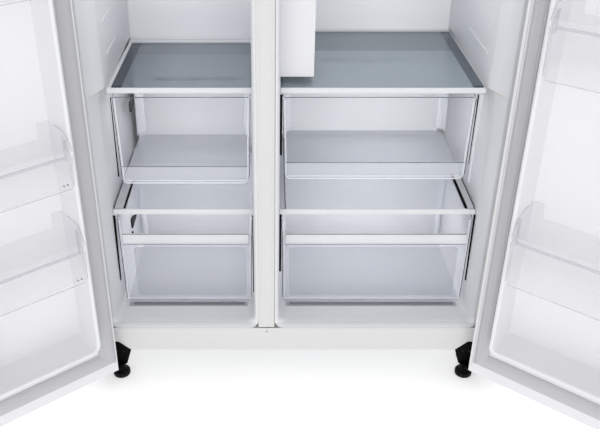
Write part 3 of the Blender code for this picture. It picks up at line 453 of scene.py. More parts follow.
def liner_loop(side, y, walls, heights):
    """A liner's cross section. The outer wall steps from its lower to its upper reach at the ledge."""
    low_x, high_x, inner_x = walls
    floor, hump, ledge, ceiling = heights

    def turn(x, z, quarter):
        across = x - LINER_CORNER if quarter in (0, 3) else x + LINER_CORNER
        height = z - LINER_CORNER if quarter in (0, 1) else z + LINER_CORNER
        return arc((across, height), LINER_CORNER, 90 * quarter, 90 * quarter + 90)

    points = [*turn(low_x, floor, 3), (low_x, hump), (low_x, ledge), (high_x, ledge)]
    points += [*turn(high_x, ceiling, 0), *turn(inner_x, ceiling, 1)]
    points += [(inner_x, hump), *turn(inner_x, floor, 2)]
    return [(side * x, y, z) for x, z in points]


def liner(compartment, side):
    """Formed liner: a rounded front lip, walls that draw in, the shelf's ledge and a raised step."""
    name = compartment + "_liner"
    low, high = spot(name)
    upper, lower = (spot(f"{compartment}_{level}_shelf_frame") for level in ("upper", "lower"))
    upper_x, lower_x = (max(abs(box[0].x), abs(box[1].x)) + SHELF_GAP for box in (upper, lower))
    inner_x = side * (upper[1].x + SHELF_GAP if side < 0 else upper[0].x - SHELF_GAP)
    rim_x = max(abs(low.x), abs(high.x))
    floor, ceiling = low.z + FLOOR_LIP, high.z - 0.0032
    hump, ledge = spot(compartment + "_duct_panel")[0].z - 0.002, upper[1].z + 0.0008
    loops = []
    for i in range(LIP_STEPS):
        turn = math.pi / 2 * i / (LIP_STEPS - 1)
        drop = 1 - math.sin(turn)
        mouth = rim_x - OUTER_LIP * (1 - drop)
        walls = mouth, mouth - 0.0003, inner_x - INNER_LIP * drop
        heights = floor - FLOOR_LIP * drop, hump, ledge, ceiling + CEILING_LIP * drop
        loops.append(liner_loop(side, 0.0003 + FLOOR_LIP * (1 - math.cos(turn)), walls, heights))
    mouth = rim_x - OUTER_LIP
    for y in (*FLARE, STEP_DEPTH):
        share = min(1, (y - FLOOR_LIP) / (FLARE[-1] - FLOOR_LIP))
        bend = share * share * (3 - 2 * share)
        outer = mouth + (lower_x - mouth) * bend, mouth - 0.0003 + (upper_x - mouth + 0.0003) * bend
        loops.append(liner_loop(side, y, (*outer, inner_x), (floor, hump, ledge, ceiling)))
    bm = bmesh.new()
    last = lofted(bm, loops, cap=False)[-1]
    near, far = [i for i, v in enumerate(last) if abs(v.co.z - hump) < 1e-6]
    bm.faces.new(last[far:] + last[: near + 1])
    rim = last[near : far + 1]
    back = [bm.verts.new((v.co.x, high.y - 0.0025, v.co.z)) for v in rim]
    for i, vert in enumerate(rim):
        j = (i + 1) % len(rim)
        bm.faces.new((vert, rim[j], back[j], back[i]))
    rear = bm.faces.new(back)
    bmesh.ops.recalc_face_normals(bm, faces=bm.faces)
    if rear.normal.y > 0:
        bmesh.ops.reverse_faces(bm, faces=bm.faces)
    piece(name + "_formed", bm, "liner_plastic", LINER, name, thick=LINER_WALL, smooth=50)
    wall_ribs(name, side, upper_x)


def wall_ribs(name, side, wall):
    """Low rounded ribs on a liner's outer wall."""
    left, right = sorted((side * (wall + 0.0005), side * (wall - 0.0024)))
    for i, (height, start, end) in enumerate(WALL_RIBS[side]):
        bm = solid(boxed, (left, start, height - RIB_HALF), (right, end, height + RIB_HALF))
        piece(f"{name}_rib_{i}", bm, "liner_plastic", LINER, bevel=0.0023)


# The pieces whose CAD shape stands: finish, how far their edges are eased, and nodes
KEPT = (
    (PAINT, 0.0006, "cabinet_shell front_rail mullion_cover"),
    (SHEET, 0.0004, "back_panel rear_grille"),
    (STEEL, 0.0003, "base_frame"),
    (STEEL, 0.0004, "top_hinge_left top_hinge_right"),
    (BLACK_PLASTIC, 0.0004, "power_inlet rear_roller_left rear_roller_right"),
    (BLACK_PLASTIC, 0.0003, "condenser_fan"),
    (BLACK_PAINT, 0.004, "compressor"),
    (COPPER, 0, "condenser_coil"),
    (ALUMINIUM, 0, "evaporator"),
    (PLASTIC, 0.0003, "evaporator_fan"),
    (PLASTIC, 0.0012, "air_duct_box"),
    (PLASTIC, 0.0025, "top_hinge_cover_left top_hinge_cover_right"),
    (FREEZER_DUCT, 0.0008, "freezer_duct_panel"),
    (FRIDGE_DUCT, 0.0008, "fridge_duct_panel"),
    (LAMP, 0.0015, "fridge_lamp"),
)


def case():
    """The painted and hidden pieces, and the foam, drawn smaller than the liners that cover it."""
    for material, ease, nodes in KEPT:
        for node in nodes.split():
            keep(node, material, ease)
    keep("cabinet_insulation", FOAM, shrink=0.0025)


SCREW_RADIUS = 0.0022


def screw(name, place, slot, material):
    """A low pan head that faces forwards."""
    shares = ((1, 0), (0.98, 0.35), (0.78, 0.75), (0.5, 0.95))
    profile = [(SCREW_RADIUS * r, place[1] - SCREW_RADIUS * h) for r, h in shares]
    piece(name, solid(turned, place, profile, "Y", 20), slot, material, smooth=55)


def front_details():
    """The mullion's screw and its cover strip."""
    low, high = spot("mullion_cover")
    place = (low.x + high.x) / 2 + 0.001, low.y - 0.0001, low.z - 0.0135
    screw("mullion_screw", place, "bare_steel", STEEL)
    strip = (low.x + 0.007, high.x - 0.0055)
    bm = bmesh.new()
    boxed(bm, (strip[0], low.y - 0.0009, low.z + 0.001), (strip[1], low.y - 0.0002, high.z - 0.002))
    piece("mullion_strip", bm, "white_paint", PAINT, bevel=0.0004)


def duct_seals(compartment):
    """Thin strips that close the gaps between a duct panel and the liner's walls."""
    low, high = spot(compartment + "_duct_panel")
    for hand, x in (("left", low.x), ("right", high.x)):
        near, far = low.y - 0.0008, low.y - 0.0002
        bm = solid(boxed, (x - SHELF_GAP + 0.0001, near, low.z + 0.001), (x + SHELF_GAP, far, high.z))
        piece(f"{compartment}_duct_seal_{hand}", bm, "liner_plastic", LINER)


def bottom_hinge(side, word):
    """Lower hinge: a screwed plate, the arm under the door and the pin on it."""
    node = "bottom_hinge_" + word
    low, high = spot(node)
    near, far = sorted((abs(low.x), abs(high.x)))
    toe, face, arm_end = near + 0.0112, -0.0009, -0.0475

    def part(name, bm, stands_for=(), bevel=0.0004):
        piece(f"{node}_{name}", bm, "black_paint", BLACK_PAINT, stands_for, bevel=bevel)

    outline = [(far, high.z), (near + 0.0255, high.z), (near - 0.001, 0.0798), (toe, low.z), (far, low.z)]
    part("plate", solid(extruded, [(side * x, z) for x, z in outline], face, 0.0022, "Y"), node)
    outline = [(toe, 0.03), (toe, -0.0015), (near + 0.028, -0.021), (near + 0.0555, arm_end)]
    outline += [(far, arm_end), (far, 0.03)]
    part("arm", solid(extruded, [(side * x, y) for x, y in outline], low.z, low.z + 0.0027))
    centre = Vector(JOINTS[word + "_door_hinge"]["pos_m"]) - ORIGIN
    profile = [(0.0075, low.z + 0.002), (0.0075, 0.053), (0.0042, 0.0534)]
    profile += [(0.0042, 0.066), (0.0034, 0.0668)]
    part("pin", solid(turned, centre, profile), bevel=0)
    for i, (x, z) in enumerate(((0.017, 0.0766), (0.032, 0.0766), (0.047, 0.0766), (0.0355, 0.046))):
        place = side * (near + x), face, z
        screw(f"{node}_screw_{i}", place, "black_paint", SCREW_BLACK)


FOOT_RIBS = 24
THREAD_PITCH = 0.001


def foot(word):
    """Levelling foot: a ribbed grip ring over a round pad, a nut and the threaded stud."""
    node = "levelling_foot_" + word
    low, high = spot(node)
    centre, edge = (low + high) / 2, (high.x - low.x) / 2
    ribbed = edge - 0.0009
    profile = [(edge - 0.004, 0), (edge - 0.0008, 0.0006), (edge, 0.0022), (edge, 0.0095)]
    profile += [(edge - 0.0015, 0.0118), (edge - 0.005, 0.0132)]
    profile += [(0.0125, 0.014), (0.0112, 0.0155), (0.0105, 0.016)]
    bm = bmesh.new()
    turned(bm, centre, profile, "Z", 4 * FOOT_RIBS, lambda i, r: 1 - 0.022 * (i % 4 < 2) * (r > ribbed))
    body = node + "_body"
    piece(node + "_pad", bm, "black_plastic", BLACK_PLASTIC, node, body, smooth=35)
    bm = solid(turned, centre, [(0.01, 0.0162), (0.01, 0.0232), (0.0092, 0.024)], "Z", 6)
    piece(node + "_nut", bm, "black_plastic", BLACK_PLASTIC, body=body, bevel=0.0004)
    start, half = 0.0242, THREAD_PITCH / 2
    thread = [(0.0045 if i % 2 else 0.004, start + half * i) for i in range(int((high.z - start) / half))]
    bm = solid(turned, centre, thread, "Z", 24)
    piece(node + "_stud", bm, "black_plastic", SCREW_BLACK, body=body, smooth=20)


# ---- shelves --------------------------------------------------------------------

# How far a shelf's rear bar reaches from its back, and where the lower glass's dark strip and the upper
# glass's border, both painted shade, lie from its outer edge
REAR_BAR = {"freezer": 0.0215, "fridge": 0.012}
SHADE_STRIP = {"freezer": (0.0218, 0.0264), "fridge": (0.016, 0.0228)}
OUTER_BORDER = {"freezer": (0.008, 0.029, SLATE), "fridge": (0.0022, 0.0242, GLASS_EDGE)}


def shelf(compartment, level, side):
    """A shelf: a front trim under the glass's front edge, side rails, a rear bar and the glass."""
    name = f"{compartment}_{level}_shelf"
    low, high = spot(name + "_frame")
    top = spot(name + "_glass")[1].z
    rear = high.y - REAR_BAR[compartment]
    outer, width = high.x if side > 0 else low.x, high.x - low.x
    groove = top - 0.0052
    lip = [(low.y, low.z), (low.y, top), (low.y + 0.002, top), (low.y + 0.0022, groove)]
    lip += [(low.y + 0.011, groove), (low.y + 0.011, low.z)]
    bm = solid(extruded, lip, low.x, high.x, "X")
    piece(name + "_trim", bm, "white_plastic", TRIM, name + "_frame", bevel=0.0009)
    bm = bmesh.new()
    boxed(bm, (low.x, rear, low.z), (high.x, high.y, high.z - 0.0012))
    boxed(bm, (low.x, rear, high.z - 0.001), (high.x, rear + 0.003, high.z))
    piece(name + "_bar", bm, "white_plastic", TRIM, bevel=0.0009)

    def strip(part, start, end, z, slot, material, bevel=0.0004):
        """A strip along the shelf's depth, placed from the outer side of the compartment."""
        left, right = sorted((outer - side * start, outer - side * end))
        bm = solid(boxed, (left, low.y + 0.0112, z[0]), (right, rear - 0.0002, z[1]))
        piece(f"{name}_{part}", bm, slot, material, bevel=bevel)

    # seal holds the heights of the dark strips beside the lower glass; they and outer_gap are painted gap
    # shade
    rail, seal = (low.z + 0.002, top), (top - 0.005, top - 0.0006)
    if level == "lower":
        start, end = SHADE_STRIP[compartment]
        strip("outer_gap", 0.0, 0.0016, (top - 0.004, top - 0.0006), "black_plastic", DARK, 0)
        strip("outer_rail", 0.0018, start - 0.0002, rail, "white_plastic", TRIM)
        strip("outer_gap_shade", start, end, seal, "black_plastic", DARK)
        reach = width - 0.0004
        if side > 0:
            strip("inner_rail", width - 0.0112, width - 0.0008, rail, "white_plastic", TRIM)
            strip("inner_gap_shade", width - 0.0134, width - 0.0114, seal, "black_plastic", DARK)
            reach = width - 0.0136
        tint = CLEAR_GLASS
    else:
        # The dark border and inner strip under the upper glass are painted shade of the rails seen through it
        start, end, border = OUTER_BORDER[compartment]
        strip("outer_rail", 0.0002, start - 0.0002, rail, "liner_plastic", LINER)
        strip("outer_border_shade", start, end, (top - 0.005, top - 0.0002), "shelf_glass", border)
        under = top - 0.0105, top - 0.0056
        strip("inner_strip_shade", width - 0.006, width - 0.0006, under, "black_plastic", GLASS_EDGE)
        reach = width - 0.0004
        tint = FRIDGE_GLASS if side > 0 else FREEZER_GLASS
    left, right = sorted((outer - side * (end + 0.0002), outer - side * reach))
    bm = solid(boxed, (left, low.y + 0.0024, top - 0.005), (right, rear - 0.0002, top))
    piece(name + "_pane", bm, "shelf_glass", tint, name + "_glass", bevel=0.0006)


def top_shelf(compartment):
    name = compartment + "_top_shelf"
    low, high = spot(name)
    bm = solid(boxed, low, high)
    piece(name + "_pane", bm, "shelf_glass", CLEAR_GLASS, name, bevel=0.0012)


# ---- drawers ---------------------------------------------------------------------

TRAY_WALL = 0.0022
TRAY_STEPS = 7
BAND_REACH = 0.006
FRONT_CORNER = 0.005
FORWARD = (0, -1, 0)


class Drawer:
    """A clear drawer: a drafted tray with round corners, moulded edges and a pull band over its front."""

    def __init__(self, name, upper):
        self.name, self.upper = name, upper
        self.low, self.high = spot(name)
        self.top, self.rim = self.high.z, self.high.z - 0.0002
        self.front = self.low.y + BAND_REACH
        self.draft, self.back_draft = (0.004, 0.03) if upper else (0.003, 0.003)
        self.rear_corner = 0.026 if upper else 0.016
        self.cut = self.top if upper else self.low.z + 0.19
        self.narrow = self.low.x < -0.2
        if upper:
            self.band = self.low.z, self.low.z + (0.0405 if self.narrow else 0.0391)
        else:
            self.band = self.cut - 0.0275, self.cut

    def part(self, suffix, bm, material, **how):
        piece(f"{self.name}_{suffix}", bm, "clear_plastic", material, body=self.name + "_body", **how)

    def walls(self, z):
        """The tray's left, right, front and back planes at a height."""
        share = (self.top - z) / (self.top - self.low.z)
        side = self.draft * share
        return self.low.x + side, self.high.x - side, self.front, self.high.y - self.back_draft * share

    def level(self, inset, z, cut_front=False):
        """The tray's outline at a height, inset from its walls, its front cut lower on a lower drawer."""
        left, right, near, far = self.walls(z)
        corners = max(0.002, FRONT_CORNER - inset), max(0.004, self.rear_corner - inset)
        loop = rounded((left + inset, near + inset), (right - inset, far - inset), *corners, TRAY_STEPS)
        cut = min(z, self.cut)
        return [(x, y, cut if cut_front and y < near + inset + 0.001 else z) for x, y in loop]

    def tray(self):
        bottom, rim, wall = self.low.z, self.rim, TRAY_WALL
        outside = (0.01, bottom), (0.003, bottom + 0.0012), (0.0006, bottom + 0.0045), (0, bottom + 0.01)
        over = (0, rim - 0.001, True), (0.0006, rim, True), (wall - 0.0004, rim, True)
        inside = (wall, rim - 0.001, True), (wall, bottom + 0.011), (wall + 0.001, bottom + 0.0062)
        floor = (wall + 0.005, bottom + 0.0035), (0.014, bottom + wall)
        loops = [self.level(*at) for at in (*outside, *over, *inside, *floor)]
        self.part("tray", solid(lofted, loops), CLEAR, stands_for=self.name, smooth=50)

    def floor_panel(self):
        left, right, near, far = self.walls(self.low.z + 0.004)
        corners = 0.003, self.rear_corner - 0.004
        outline = rounded((left + 0.006, near + 0.004), (right - 0.006, far - 0.003), *corners, TRAY_STEPS)
        bm = solid(extruded, outline, self.low.z + 0.0048, self.low.z + 0.006)
        self.part("floor", bm, FROSTED, bevel=0.0004)

    def rear_corners(self):
        """The thick bends of the tray's rear corners, lighter as a painted highlight."""
        for hand, word in ((-1, "left"), (1, "right")):
            loops = []
            for z in (self.low.z + 0.012, self.rim - 0.004):
                left, right, _, far = self.walls(z)
                centre = (left if hand < 0 else right) - hand * self.rear_corner, far - self.rear_corner
                radius = self.rear_corner - TRAY_WALL - 0.0004
                bend = arc(centre, radius, 90 - hand * 78, 90 - hand * 12, 8)
                loops.append([(x, y, z) for x, y in ribbon(bend, -0.0012 * hand)])
            self.part("corner_" + word, solid(lofted, loops), GLINT, smooth=50)

    def pull_band(self):
        """The front band, lower corners round on an upper drawer; edge lines of painted shade and highlights.
        """
        bottom, top = self.band
        left, right, radius = self.low.x + 0.009, self.high.x - 0.009, 0.01 if self.upper else 0.002
        bottom_run = arc((left + radius, bottom + radius), radius, 180, 270)
        bottom_run += arc((right - radius, bottom + radius), radius, 270, 360)
        bm = bmesh.new()
        extruded(bm, [(right, top), (left, top)] + bottom_run, self.low.y + 0.001, self.front - 0.0003, "Y")
        self.part("band", bm, BAND if self.upper else LOW_BAND, bevel=0.0008)
        y = self.low.y + 0.0012
        bm = bmesh.new()
        for z in (top - 0.0006,) if self.upper else (top - 0.0006, bottom + 0.0006):
            wire(bm, [(left, y, z), (right, y, z)], 0.0006, FORWARD)
        self.part("band_lines", bm, EDGE)
        if self.upper:
            bm = bmesh.new()
            run = [(left, y, top - 0.004), *((x, y, z) for x, z in bottom_run), (right, y, top - 0.004)]
            wire(bm, run, 0.0011, FORWARD)
            bead = bottom + 0.0062
            wire(bm, [(left + 0.006, y, bead), (right - 0.006, y, bead)], 0.0006, FORWARD)
            self.part("band_bead", bm, GLINT)

    def edges(self):
        """Painted shade in dark lines where the tray is seen end on, and painted highlights beside them."""
        dark, light = bmesh.new(), bmesh.new()
        rim = self.top - 0.0008
        for hand in (-1, 1):
            ends = []
            for z in (self.low.z + 0.008, self.top - 0.0035):
                left, right, near, _ = self.walls(z)
                ends.append(((left if hand < 0 else right) - hand * 0.0009, near + 0.0012, z))
            wire(dark, ends, 0.0007, (hand, 0, 0))
            wire(light, [(x - hand * 0.0042, y - 0.0006, z) for x, y, z in ends], 0.0016, FORWARD)
            left, right, near, far = self.walls(self.top)
            x = (left if hand < 0 else right) - hand * 0.001
            wire(dark, [(x, near + 0.006, rim), (x, far - 0.03, rim)], 0.0006, (0, 0, 1))
        if self.upper:
            y = near + 0.0008
            wire(dark, [(left + 0.004, y, rim), (right - 0.004, y, rim)], 0.0006, FORWARD)
        self.part("edges", dark, EDGE)
        self.part("glints", light, GLINT)

    def face_panel(self):
        """A lower drawer's face: an inner panel with raised margins round it."""
        outer = (self.low.x + 0.008, self.low.z + 0.006), (self.high.x - 0.007, self.band[0] - 0.002)
        left, right = (0.024, 0.009) if self.narrow else (0.011, 0.017)
        inner = (outer[0][0] + left, outer[0][1] + 0.01), (outer[1][0] - right, outer[1][1] - 0.008)
        front = self.front - 0.0003
        loops = []
        for corners, y, radius in ((outer, front, 0.004), (outer, front - 0.0009, 0.004),
                                   (inner, front - 0.0013, 0.009), (inner, front, 0.009)):
            loops.append([(x, y, z) for x, z in rounded(*corners, radius, steps=5)])
        # Margins in a lighter clear plastic: painted light where the face is seen against the side walls
        self.part("margin", solid(lofted, loops, ring=True), MARGIN, smooth=30)
        # A darker inner panel: painted shade of the drawer's inside seen through the face
        bm = solid(extruded, rounded(*inner, 0.009, steps=5), front - 0.0006, front, "Y")
        self.part("panel", bm, PANEL, bevel=0.0002)
        # A light line along the face's foot: a painted highlight
        y, z = front - 0.0013, outer[0][1] + 0.002
        bm = solid(wire, [(outer[0][0], y, z), (outer[1][0], y, z)], 0.0012, FORWARD)
        self.part("foot_line", bm, GLINT)


def drawer(name, upper):
    made = Drawer(name, upper)
    made.tray()
    made.floor_panel()
    made.rear_corners()
    made.pull_band()
    made.edges()
    if not upper:
        made.face_panel()


# Drawer runner plates, dark also as painted shade of the gaps: X of the foot and of the head, bottom and top
RUNNERS = {
    "freezer_low": ((-0.0943, -0.0908), (-0.0943, -0.0908), 0.19, 0.4),
    "freezer_low_outer": ((-0.4073, -0.405), (-0.4073, -0.4024), 0.225, 0.4),
    "freezer_high_outer": ((-0.3858, -0.3834), (-0.3846, -0.3834), 0.5, 0.684),
    "fridge_high": ((-0.0341, -0.0284), (-0.0341, -0.0284), 0.552, 0.69),
    "fridge_low": ((-0.0341, -0.0284), (-0.0341, -0.0284), 0.25, 0.4027),
    "fridge_low_outer": ((0.405, 0.4073), (0.4036, 0.4073), 0.225, 0.4027),
    "fridge_high_outer": ((0.3754, 0.376), (0.3754, 0.3776), 0.53, 0.69),
}
RUNNER_DEPTH = (0.0776, 0.081)
# Drawer stops on the freezer's outer wall, their black also painted shade of the dark gap there:
# the wall's X, depths, heights and the peg's depth and height
STOPS = {
    "high": (-0.3917, (0.305, 0.381), (0.5535, 0.58), (0.3776, 0.573)),
    "low": (-0.4072, (0.2635, 0.333), (0.253, 0.281), (0.264, 0.243)),
}
STOP_THICKNESS = 0.004


def runners():
    """Black runner plates beside the drawers, partly painted shade of the gaps, and a white filler beside the
    upper one.
    """
    for name, (foot_x, head_x, bottom, top) in RUNNERS.items():
        outline = [(foot_x[0], bottom), (foot_x[1], bottom), (head_x[1], top), (head_x[0], top)]
        bm = solid(extruded, outline, *RUNNER_DEPTH, "Y")
        piece(f"runner_{name}", bm, "black_plastic", DARK)
    bm = bmesh.new()
    extruded(bm, [(0.3812, 0.484), (0.383, 0.484), (0.388, 0.69), (0.378, 0.69)], 0.0815, 0.0845, "Y")
    piece("filler_fridge_high", bm, "white_plastic", TRIM, bevel=0.0006)


def floor_contact_shadows():
    """Painted contact shadows: thin dark strips on the compartments' floors, at the foot of the lower
    drawers.
    """
    for compartment in ("freezer", "fridge"):
        low, high = spot(compartment + "_lower_drawer")
        floor = spot(compartment + "_liner")[0].z + FLOOR_LIP
        bm = bmesh.new()
        boxed(bm, (low.x + 0.006, 0.065, floor + 0.0001), (high.x - 0.006, 0.082, floor + 0.0005))
        boxed(bm, (low.x + 0.02, 0.07, floor + 0.0007), (high.x - 0.02, 0.081, floor + 0.0011))
        piece(compartment + "_floor_contact_shadow", bm, "liner_plastic", SHADE)


def wall_stops():
    """Wedge-shaped drawer stops with their pegs, black also as painted shade of the dark gap there."""
    for name, (wall, (front, back), (bottom, top), peg) in STOPS.items():
        outline = [(front, top - 0.0045), (front + 0.006, top), (front + 0.03, top - 0.0065)]
        outline += [(back, bottom + 0.003), (back - 0.006, bottom), (front + 0.003, bottom)]
        bm = solid(extruded, outline, wall, wall + STOP_THICKNESS, "X")
        piece(f"stop_{name}", bm, "black_plastic", DARK, bevel=0.0008)
        profile = [(0.0026, wall), (0.0026, wall + STOP_THICKNESS), (0.0018, wall + STOP_THICKNESS + 0.0008)]
        bm = solid(turned, (0, *peg), profile, "X", 16)
        piece(f"stop_{name}_peg", bm, "black_plastic", DARK)


# ---- doors ------------------------------------------------------------------------


class Door:
    """One door's frame: s from its hinge side, n out of its inner face, z up, drawn shut and placed open."""

    def __init__(self, side):
        self.side, self.word = side, "left" if side < 0 else "right"
        self.body = self.word + "_door"
        joint = JOINTS[self.body + "_hinge"]
        pivot = Matrix.Translation(joint["pos_m"])
        swing = Matrix.Rotation(math.radians(-joint["range_deg"][0]), 4, Vector(joint["axis"]))
        self.open = pivot @ swing @ pivot.inverted()
        half = (SHELL[1].x - SHELL[0].x) / 2
        self.draw = Matrix(((-side, 0, 0, side * half), (0, 1, 0, 0), (0, 0, 1, 0), (0, 0, 0, 1)))
        self.draw = self.draw @ Matrix.Translation((0, self.shut("top_cap")[1].y, 0))
        self.place = self.open @ CABINET @ self.draw
        high = self.shut("top_cap")[1]
        self.width, self.top, self.bottom = high.x, high.z, self.shut("bottom_cap")[0].z

    def points(self, part):
        """The (s, n, z) of each corner of one of the door's CAD nodes."""
        back = (self.open @ CABINET @ self.draw).inverted()
        return [back @ v.co for v in frame["nodes"][f"{self.body}_{part}"].data.vertices]

    def shut(self, part):
        """The lowest and highest (s, n, z) of one of the door's CAD nodes."""
        points = self.points(part)
        return [Vector([pick(p[i] for p in points) for i in range(3)]) for pick in (min, max)]

    def loop(self, hinge, free, rise, n, radius):
        """A rounded rectangle across the door, inset from its edges, at height n."""
        outline = rounded((hinge, self.bottom + rise), (self.width - free, self.top - rise), radius)
        return [(s, n, z) for s, z in outline]

    def piece(self, name, bm, slot, material, *stands_for, **how):
        nodes = [f"{self.body}_{part}" for part in stands_for]
        piece(f"{self.body}_{name}", bm, slot, material, nodes, self.body, self.place, **how)


# The door liner across a dike, from the rim to the pocket's floor: inset, rise, height and corner
DIKE = (
    (0.0462, 0.0995, 0.0, 1.0),
    (0.049, 0.1025, 0.0012, 0.98),
    (0.0505, 0.1045, 0.0045, 0.96),
    (0.053, 0.11, 0.02, 0.92),
    (0.0566, 0.118, 0.0465, 0.88),
    (0.0582, 0.1208, 0.0528, 0.86),
    (0.061, 0.124, 0.055, 0.82),
    (0.064, 0.127, 0.055, 0.6),
    (0.0661, 0.1291, 0.0537, 0.56),
    (0.0668, 0.1298, 0.05, 0.54),
    (0.069, 0.1345, -0.0165, 0.52),
    (0.0702, 0.1362, -0.0205, 0.5),
    (0.074, 0.14, -0.022, 0.45),
)


def door_liner(door):
    """Formed door liner with its foam core: a slab, the rim under the gasket, a tall dike and a pocket."""
    low, high = door.shut("liner")
    slab = (low.x, door.width - door.shut("skin")[1].x + 0.0385, low.z - door.bottom)
    rim = door.width - high.x
    rise = door.shut("gasket")[0].z - door.bottom - 0.0004
    back = low.y
    corner = 0.025 if door.side < 0 else 0.013
    loops = [door.loop(*slab, back, 0.003), door.loop(*slab, -0.0044, 0.003)]
    loops += [door.loop(rim, rim, rise, n, 0.002) for n in (-0.0044, -0.0005)]
    loops.append(door.loop(rim + 0.0005, rim + 0.0005, rise + 0.0005, 0, 0.002))
    for inset, lift, n, share in DIKE:
        radius = corner * share if n > 0.0001 or door.side < 0 else 0.006
        loops.append(door.loop(inset, inset, lift, n, radius))
    bm = solid(lofted, loops)
    door.piece("liner_formed", bm, "door_liner_plastic", DOOR_LINER, "liner", smooth=50)


GASKET_WIDTH = 0.0365
# How much further in the gasket starts along the door's hinge side
GASKET_GAP = {"left": -0.0024, "right": 0.0042}


def gasket(door):
    """Magnetic gasket: a base, a bellows groove at each side and a flat sealing face, run round the door."""
    low, high = door.shut("gasket")
    edge, rise, height = low.x, low.z - door.bottom, high.y
    gap, foot = GASKET_GAP[door.word], 0.0003
    section = [(0, foot), (0, 0.0024), (0.0012, 0.0034), (0.003, 0.0034), (0.0036, 0.005)]
    section += [(0.0062, height - 0.0006), (0.008, height), (0.027, height), (0.0284, height - 0.001)]
    section += [(0.0296, height), (0.032, height - 0.0004), (0.0345, 0.005), (0.0352, 0.0034)]
    section += [(GASKET_WIDTH, 0.0028), (GASKET_WIDTH, foot)]
    loops = []
    for s, n in section:
        loops.append(door.loop(edge + s + gap * (1 - s / GASKET_WIDTH), edge + s, rise + s, n, 0.0012))
    bm = solid(lofted, loops, ring=True)
    door.piece("gasket_ring", bm, "gasket_rubber", RUBBER, "gasket", smooth=35)


BIN_WALL = 0.0024
BIN_EAR = 0.0225
BIN_CORNER = 0.01
BIN_FOOT_CORNER = 0.002
BIN_LEAN = 0.0022
RUN_STEPS = 26


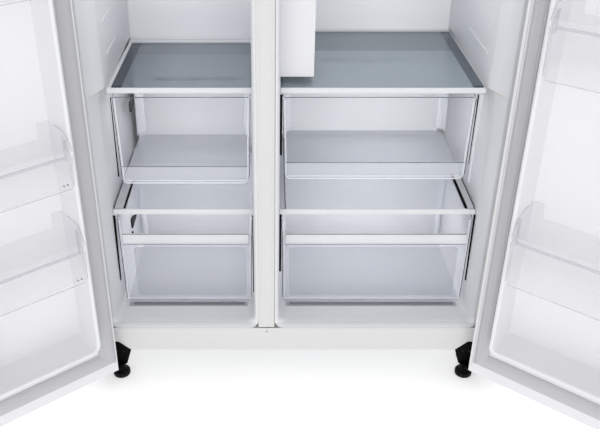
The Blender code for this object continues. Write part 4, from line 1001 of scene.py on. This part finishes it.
class Bin:
    """A door bin: high rounded end panels, a lower front with a thick rim, a back wall and moulded edges."""

    def __init__(self, door, part):
        self.door, self.part = door, part
        self.low, self.high = door.shut(part)
        self.front_rim = max(p.z for p in door.points(part) if p.y > self.high.y - 0.002)
        self.end_rim = self.high.z
        self.back_rim = max(self.end_rim - 0.034, self.front_rim + 0.002)
        self.bend = 0.062 if door.side > 0 and part == "lower_bin" else 0.034

    def piece(self, suffix, bm, material, *stands_for, **how):
        self.door.piece(f"{self.part}_{suffix}", bm, "clear_plastic", material, *stands_for, **how)

    def rim_height(self, s, n):
        """The rim: level at the ends, round at their front corners, lower along the front and the back."""
        start = self.high.y - self.bend
        if n > start:
            t = min(1, (n - start) / (self.bend - 0.0005))
            return self.front_rim + (self.end_rim - self.front_rim) * math.sqrt(max(0, 1 - t * t))
        inward = min(s - self.low.x, self.high.x - s)
        if n < self.low.y + 0.006:
            return self.end_rim - (self.end_rim - self.back_rim) * min(1, max(0, inward - BIN_EAR) / 0.002)
        return self.end_rim

    def outline(self, inset, share):
        """The bin seen from above, inset from its walls, which lean in towards its foot."""
        lean = BIN_LEAN * (1 - share)
        s0, s1 = self.low.x + inset + lean, self.high.x - inset - lean
        n0, n1 = self.low.y + inset, self.high.y - inset - lean * 2
        radius, foot = max(BIN_FOOT_CORNER, BIN_CORNER - inset), BIN_FOOT_CORNER
        even = [i / RUN_STEPS for i in range(RUN_STEPS)]
        back = s1 - s0 - 2 * foot
        ear, step = (BIN_EAR + self.low.x - s0 - foot) / back, (BIN_EAR + self.low.x - s0) / back
        eared = [0, ear / 2, ear, step, *[i / 10 for i in range(2, 9)], 1 - step, 1 - ear, 1 - ear / 2]
        runs = (
            ((s1, n0 + foot), (s1, n1 - radius), (s1 - radius, n1 - radius), radius, even),
            ((s1 - radius, n1), (s0 + radius, n1), (s0 + radius, n1 - radius), radius, even),
            ((s0, n1 - radius), (s0, n0 + foot), (s0 + foot, n0 + foot), foot, even),
            ((s0 + foot, n0), (s1 - foot, n0), (s1 - foot, n0 + foot), foot, eared),
        )
        loop = []
        for quarter, (start, end, centre, corner, shares) in enumerate(runs):
            loop += [tuple(Vector(start).lerp(Vector(end), part)) for part in shares]
            loop += arc(centre, corner, 90 * quarter, 90 * quarter + 90)[:-1]
        return loop

    def level(self, inset, share, z=None, below=0.0):
        """The outline at a height, or below the rim."""
        outline = self.outline(inset, share)
        return [(s, n, self.rim_height(s, n) - below if z is None else z) for s, n in outline]

    def tray(self):
        bottom, wall, face = self.low.z, BIN_WALL, self.front_rim - 0.008
        outside = (0.006, 0, bottom), (0.0012, 0, bottom + 0.0015), (0, 0.05, bottom + 0.006), (0, 0.75, face)
        over = (0, 1, None, 0.0012), (0.0007, 1), (wall - 0.0004, 1), (wall, 1, None, 0.0012)
        inside = (wall, 0.75, face), (wall, 0.05, bottom + 0.007), (wall + 0.002, 0, bottom + 0.0038)
        loops = [self.level(*at) for at in (*outside, *over, *inside, (0.009, 0, bottom + wall))]
        self.piece("tray", solid(lofted, loops), BIN, self.part, smooth=45)

    def rim(self):
        """The thick rim along the front."""
        left, right, front, rim = self.low.x + 0.0105, self.high.x - 0.0105, self.high.y, self.front_rim
        bm = solid(boxed, (left, front - 0.0056, rim - 0.0065), (right, front - 0.0028, rim - 0.0006))
        self.piece("rim", bm, BIN_RIM, bevel=0.0006)

    def edges(self):
        """Dark lines on the bottom's and the end panels' edges: painted shade where the plastic is seen end
        on.
        """
        low, high, outward = self.low, self.high, (0, 1, 0)
        bottom = [(s, high.y - 0.006, low.z + 0.0008) for s in (low.x + 0.008, high.x - 0.008)]
        bm = solid(wire, bottom, 0.0007, outward)
        for edge, hand in ((low.x, 1), (high.x, -1)):
            s = edge + hand * 0.0012
            turns = [math.pi / 2 * i / 12 for i in range(13)]
            steps = [high.y - 0.0012 - self.bend * (1 - math.sin(turn)) for turn in turns]
            run = [(s, min(low.y + 0.03, steps[0] - 0.002), self.end_rim)]
            run += [(s, n, self.rim_height(s, n)) for n in steps]
            wire(bm, [(s, n, z - 0.0006) for s, n, z in run], 0.0006, (1, 0, 0))
            foot = (s + hand * 0.0016, high.y - 0.0068, low.z + 0.006)
            wire(bm, [foot, (s, high.y - 0.003, self.front_rim - 0.004)], 0.0005, outward)
        self.piece("edges", bm, BIN_RIM, smooth=50)

    def pegs(self):
        low, high = self.low, self.high
        for i, s in enumerate((low.x + 0.017, low.x + 0.025)):
            profile = [(0.0011, high.y - 0.0052), (0.0011, high.y - 0.0012)]
            bm = solid(turned, (s, 0, low.z + 0.0135), profile, "Y", 12)
            self.piece(f"peg_{i}", bm, MARK, smooth=50)

    def guides(self):
        """Posts behind the front, at each end."""
        high, foot = self.high, self.front_rim - 0.02
        for i, (edge, hand) in enumerate(((self.low.x, 1), (high.x, -1))):
            left, right = sorted((edge + hand * 0.0036, edge + hand * 0.0052))
            bm = bmesh.new()
            boxed(bm, (left, high.y - 0.03, foot), (right, high.y - 0.024, self.end_rim - 0.012))
            boxed(bm, (left, high.y - 0.021, foot), (right, high.y - 0.019, self.end_rim - 0.014))
            self.piece(f"guide_{i}", bm, BIN_RIM, bevel=0.0005)


def door_bin(door, part):
    made = Bin(door, part)
    made.tray()
    made.rim()
    made.edges()
    if door.side < 0:
        made.pegs()
    made.guides()


def door_shell(door):
    keep(door.body + "_skin", DOOR_PAINT, 0.0003)
    for part in ("grip", "top_cap", "bottom_cap"):
        keep(f"{door.body}_{part}", PLASTIC, 0.0006)


# ---- the scene ---------------------------------------------------------------------

camera()
studio()
ground()
case()
front_details()
runners()
floor_contact_shadows()
wall_stops()
for side, compartment in ((-1, "freezer"), (1, "fridge")):
    liner(compartment, side)
    duct_seals(compartment)
    shelf(compartment, "lower", side)
    shelf(compartment, "upper", side)
    top_shelf(compartment)
    drawer(compartment + "_upper_drawer", True)
    drawer(compartment + "_lower_drawer", False)
    door = Door(side)
    foot(door.word)
    bottom_hinge(side, door.word)
    door_shell(door)
    door_liner(door)
    gasket(door)
    for part in ("lower_bin", "middle_bin", "upper_bin"):
        if f"{door.body}_{part}" in frame["nodes"]:
            door_bin(door, part)

bpy.context.view_layer.update()
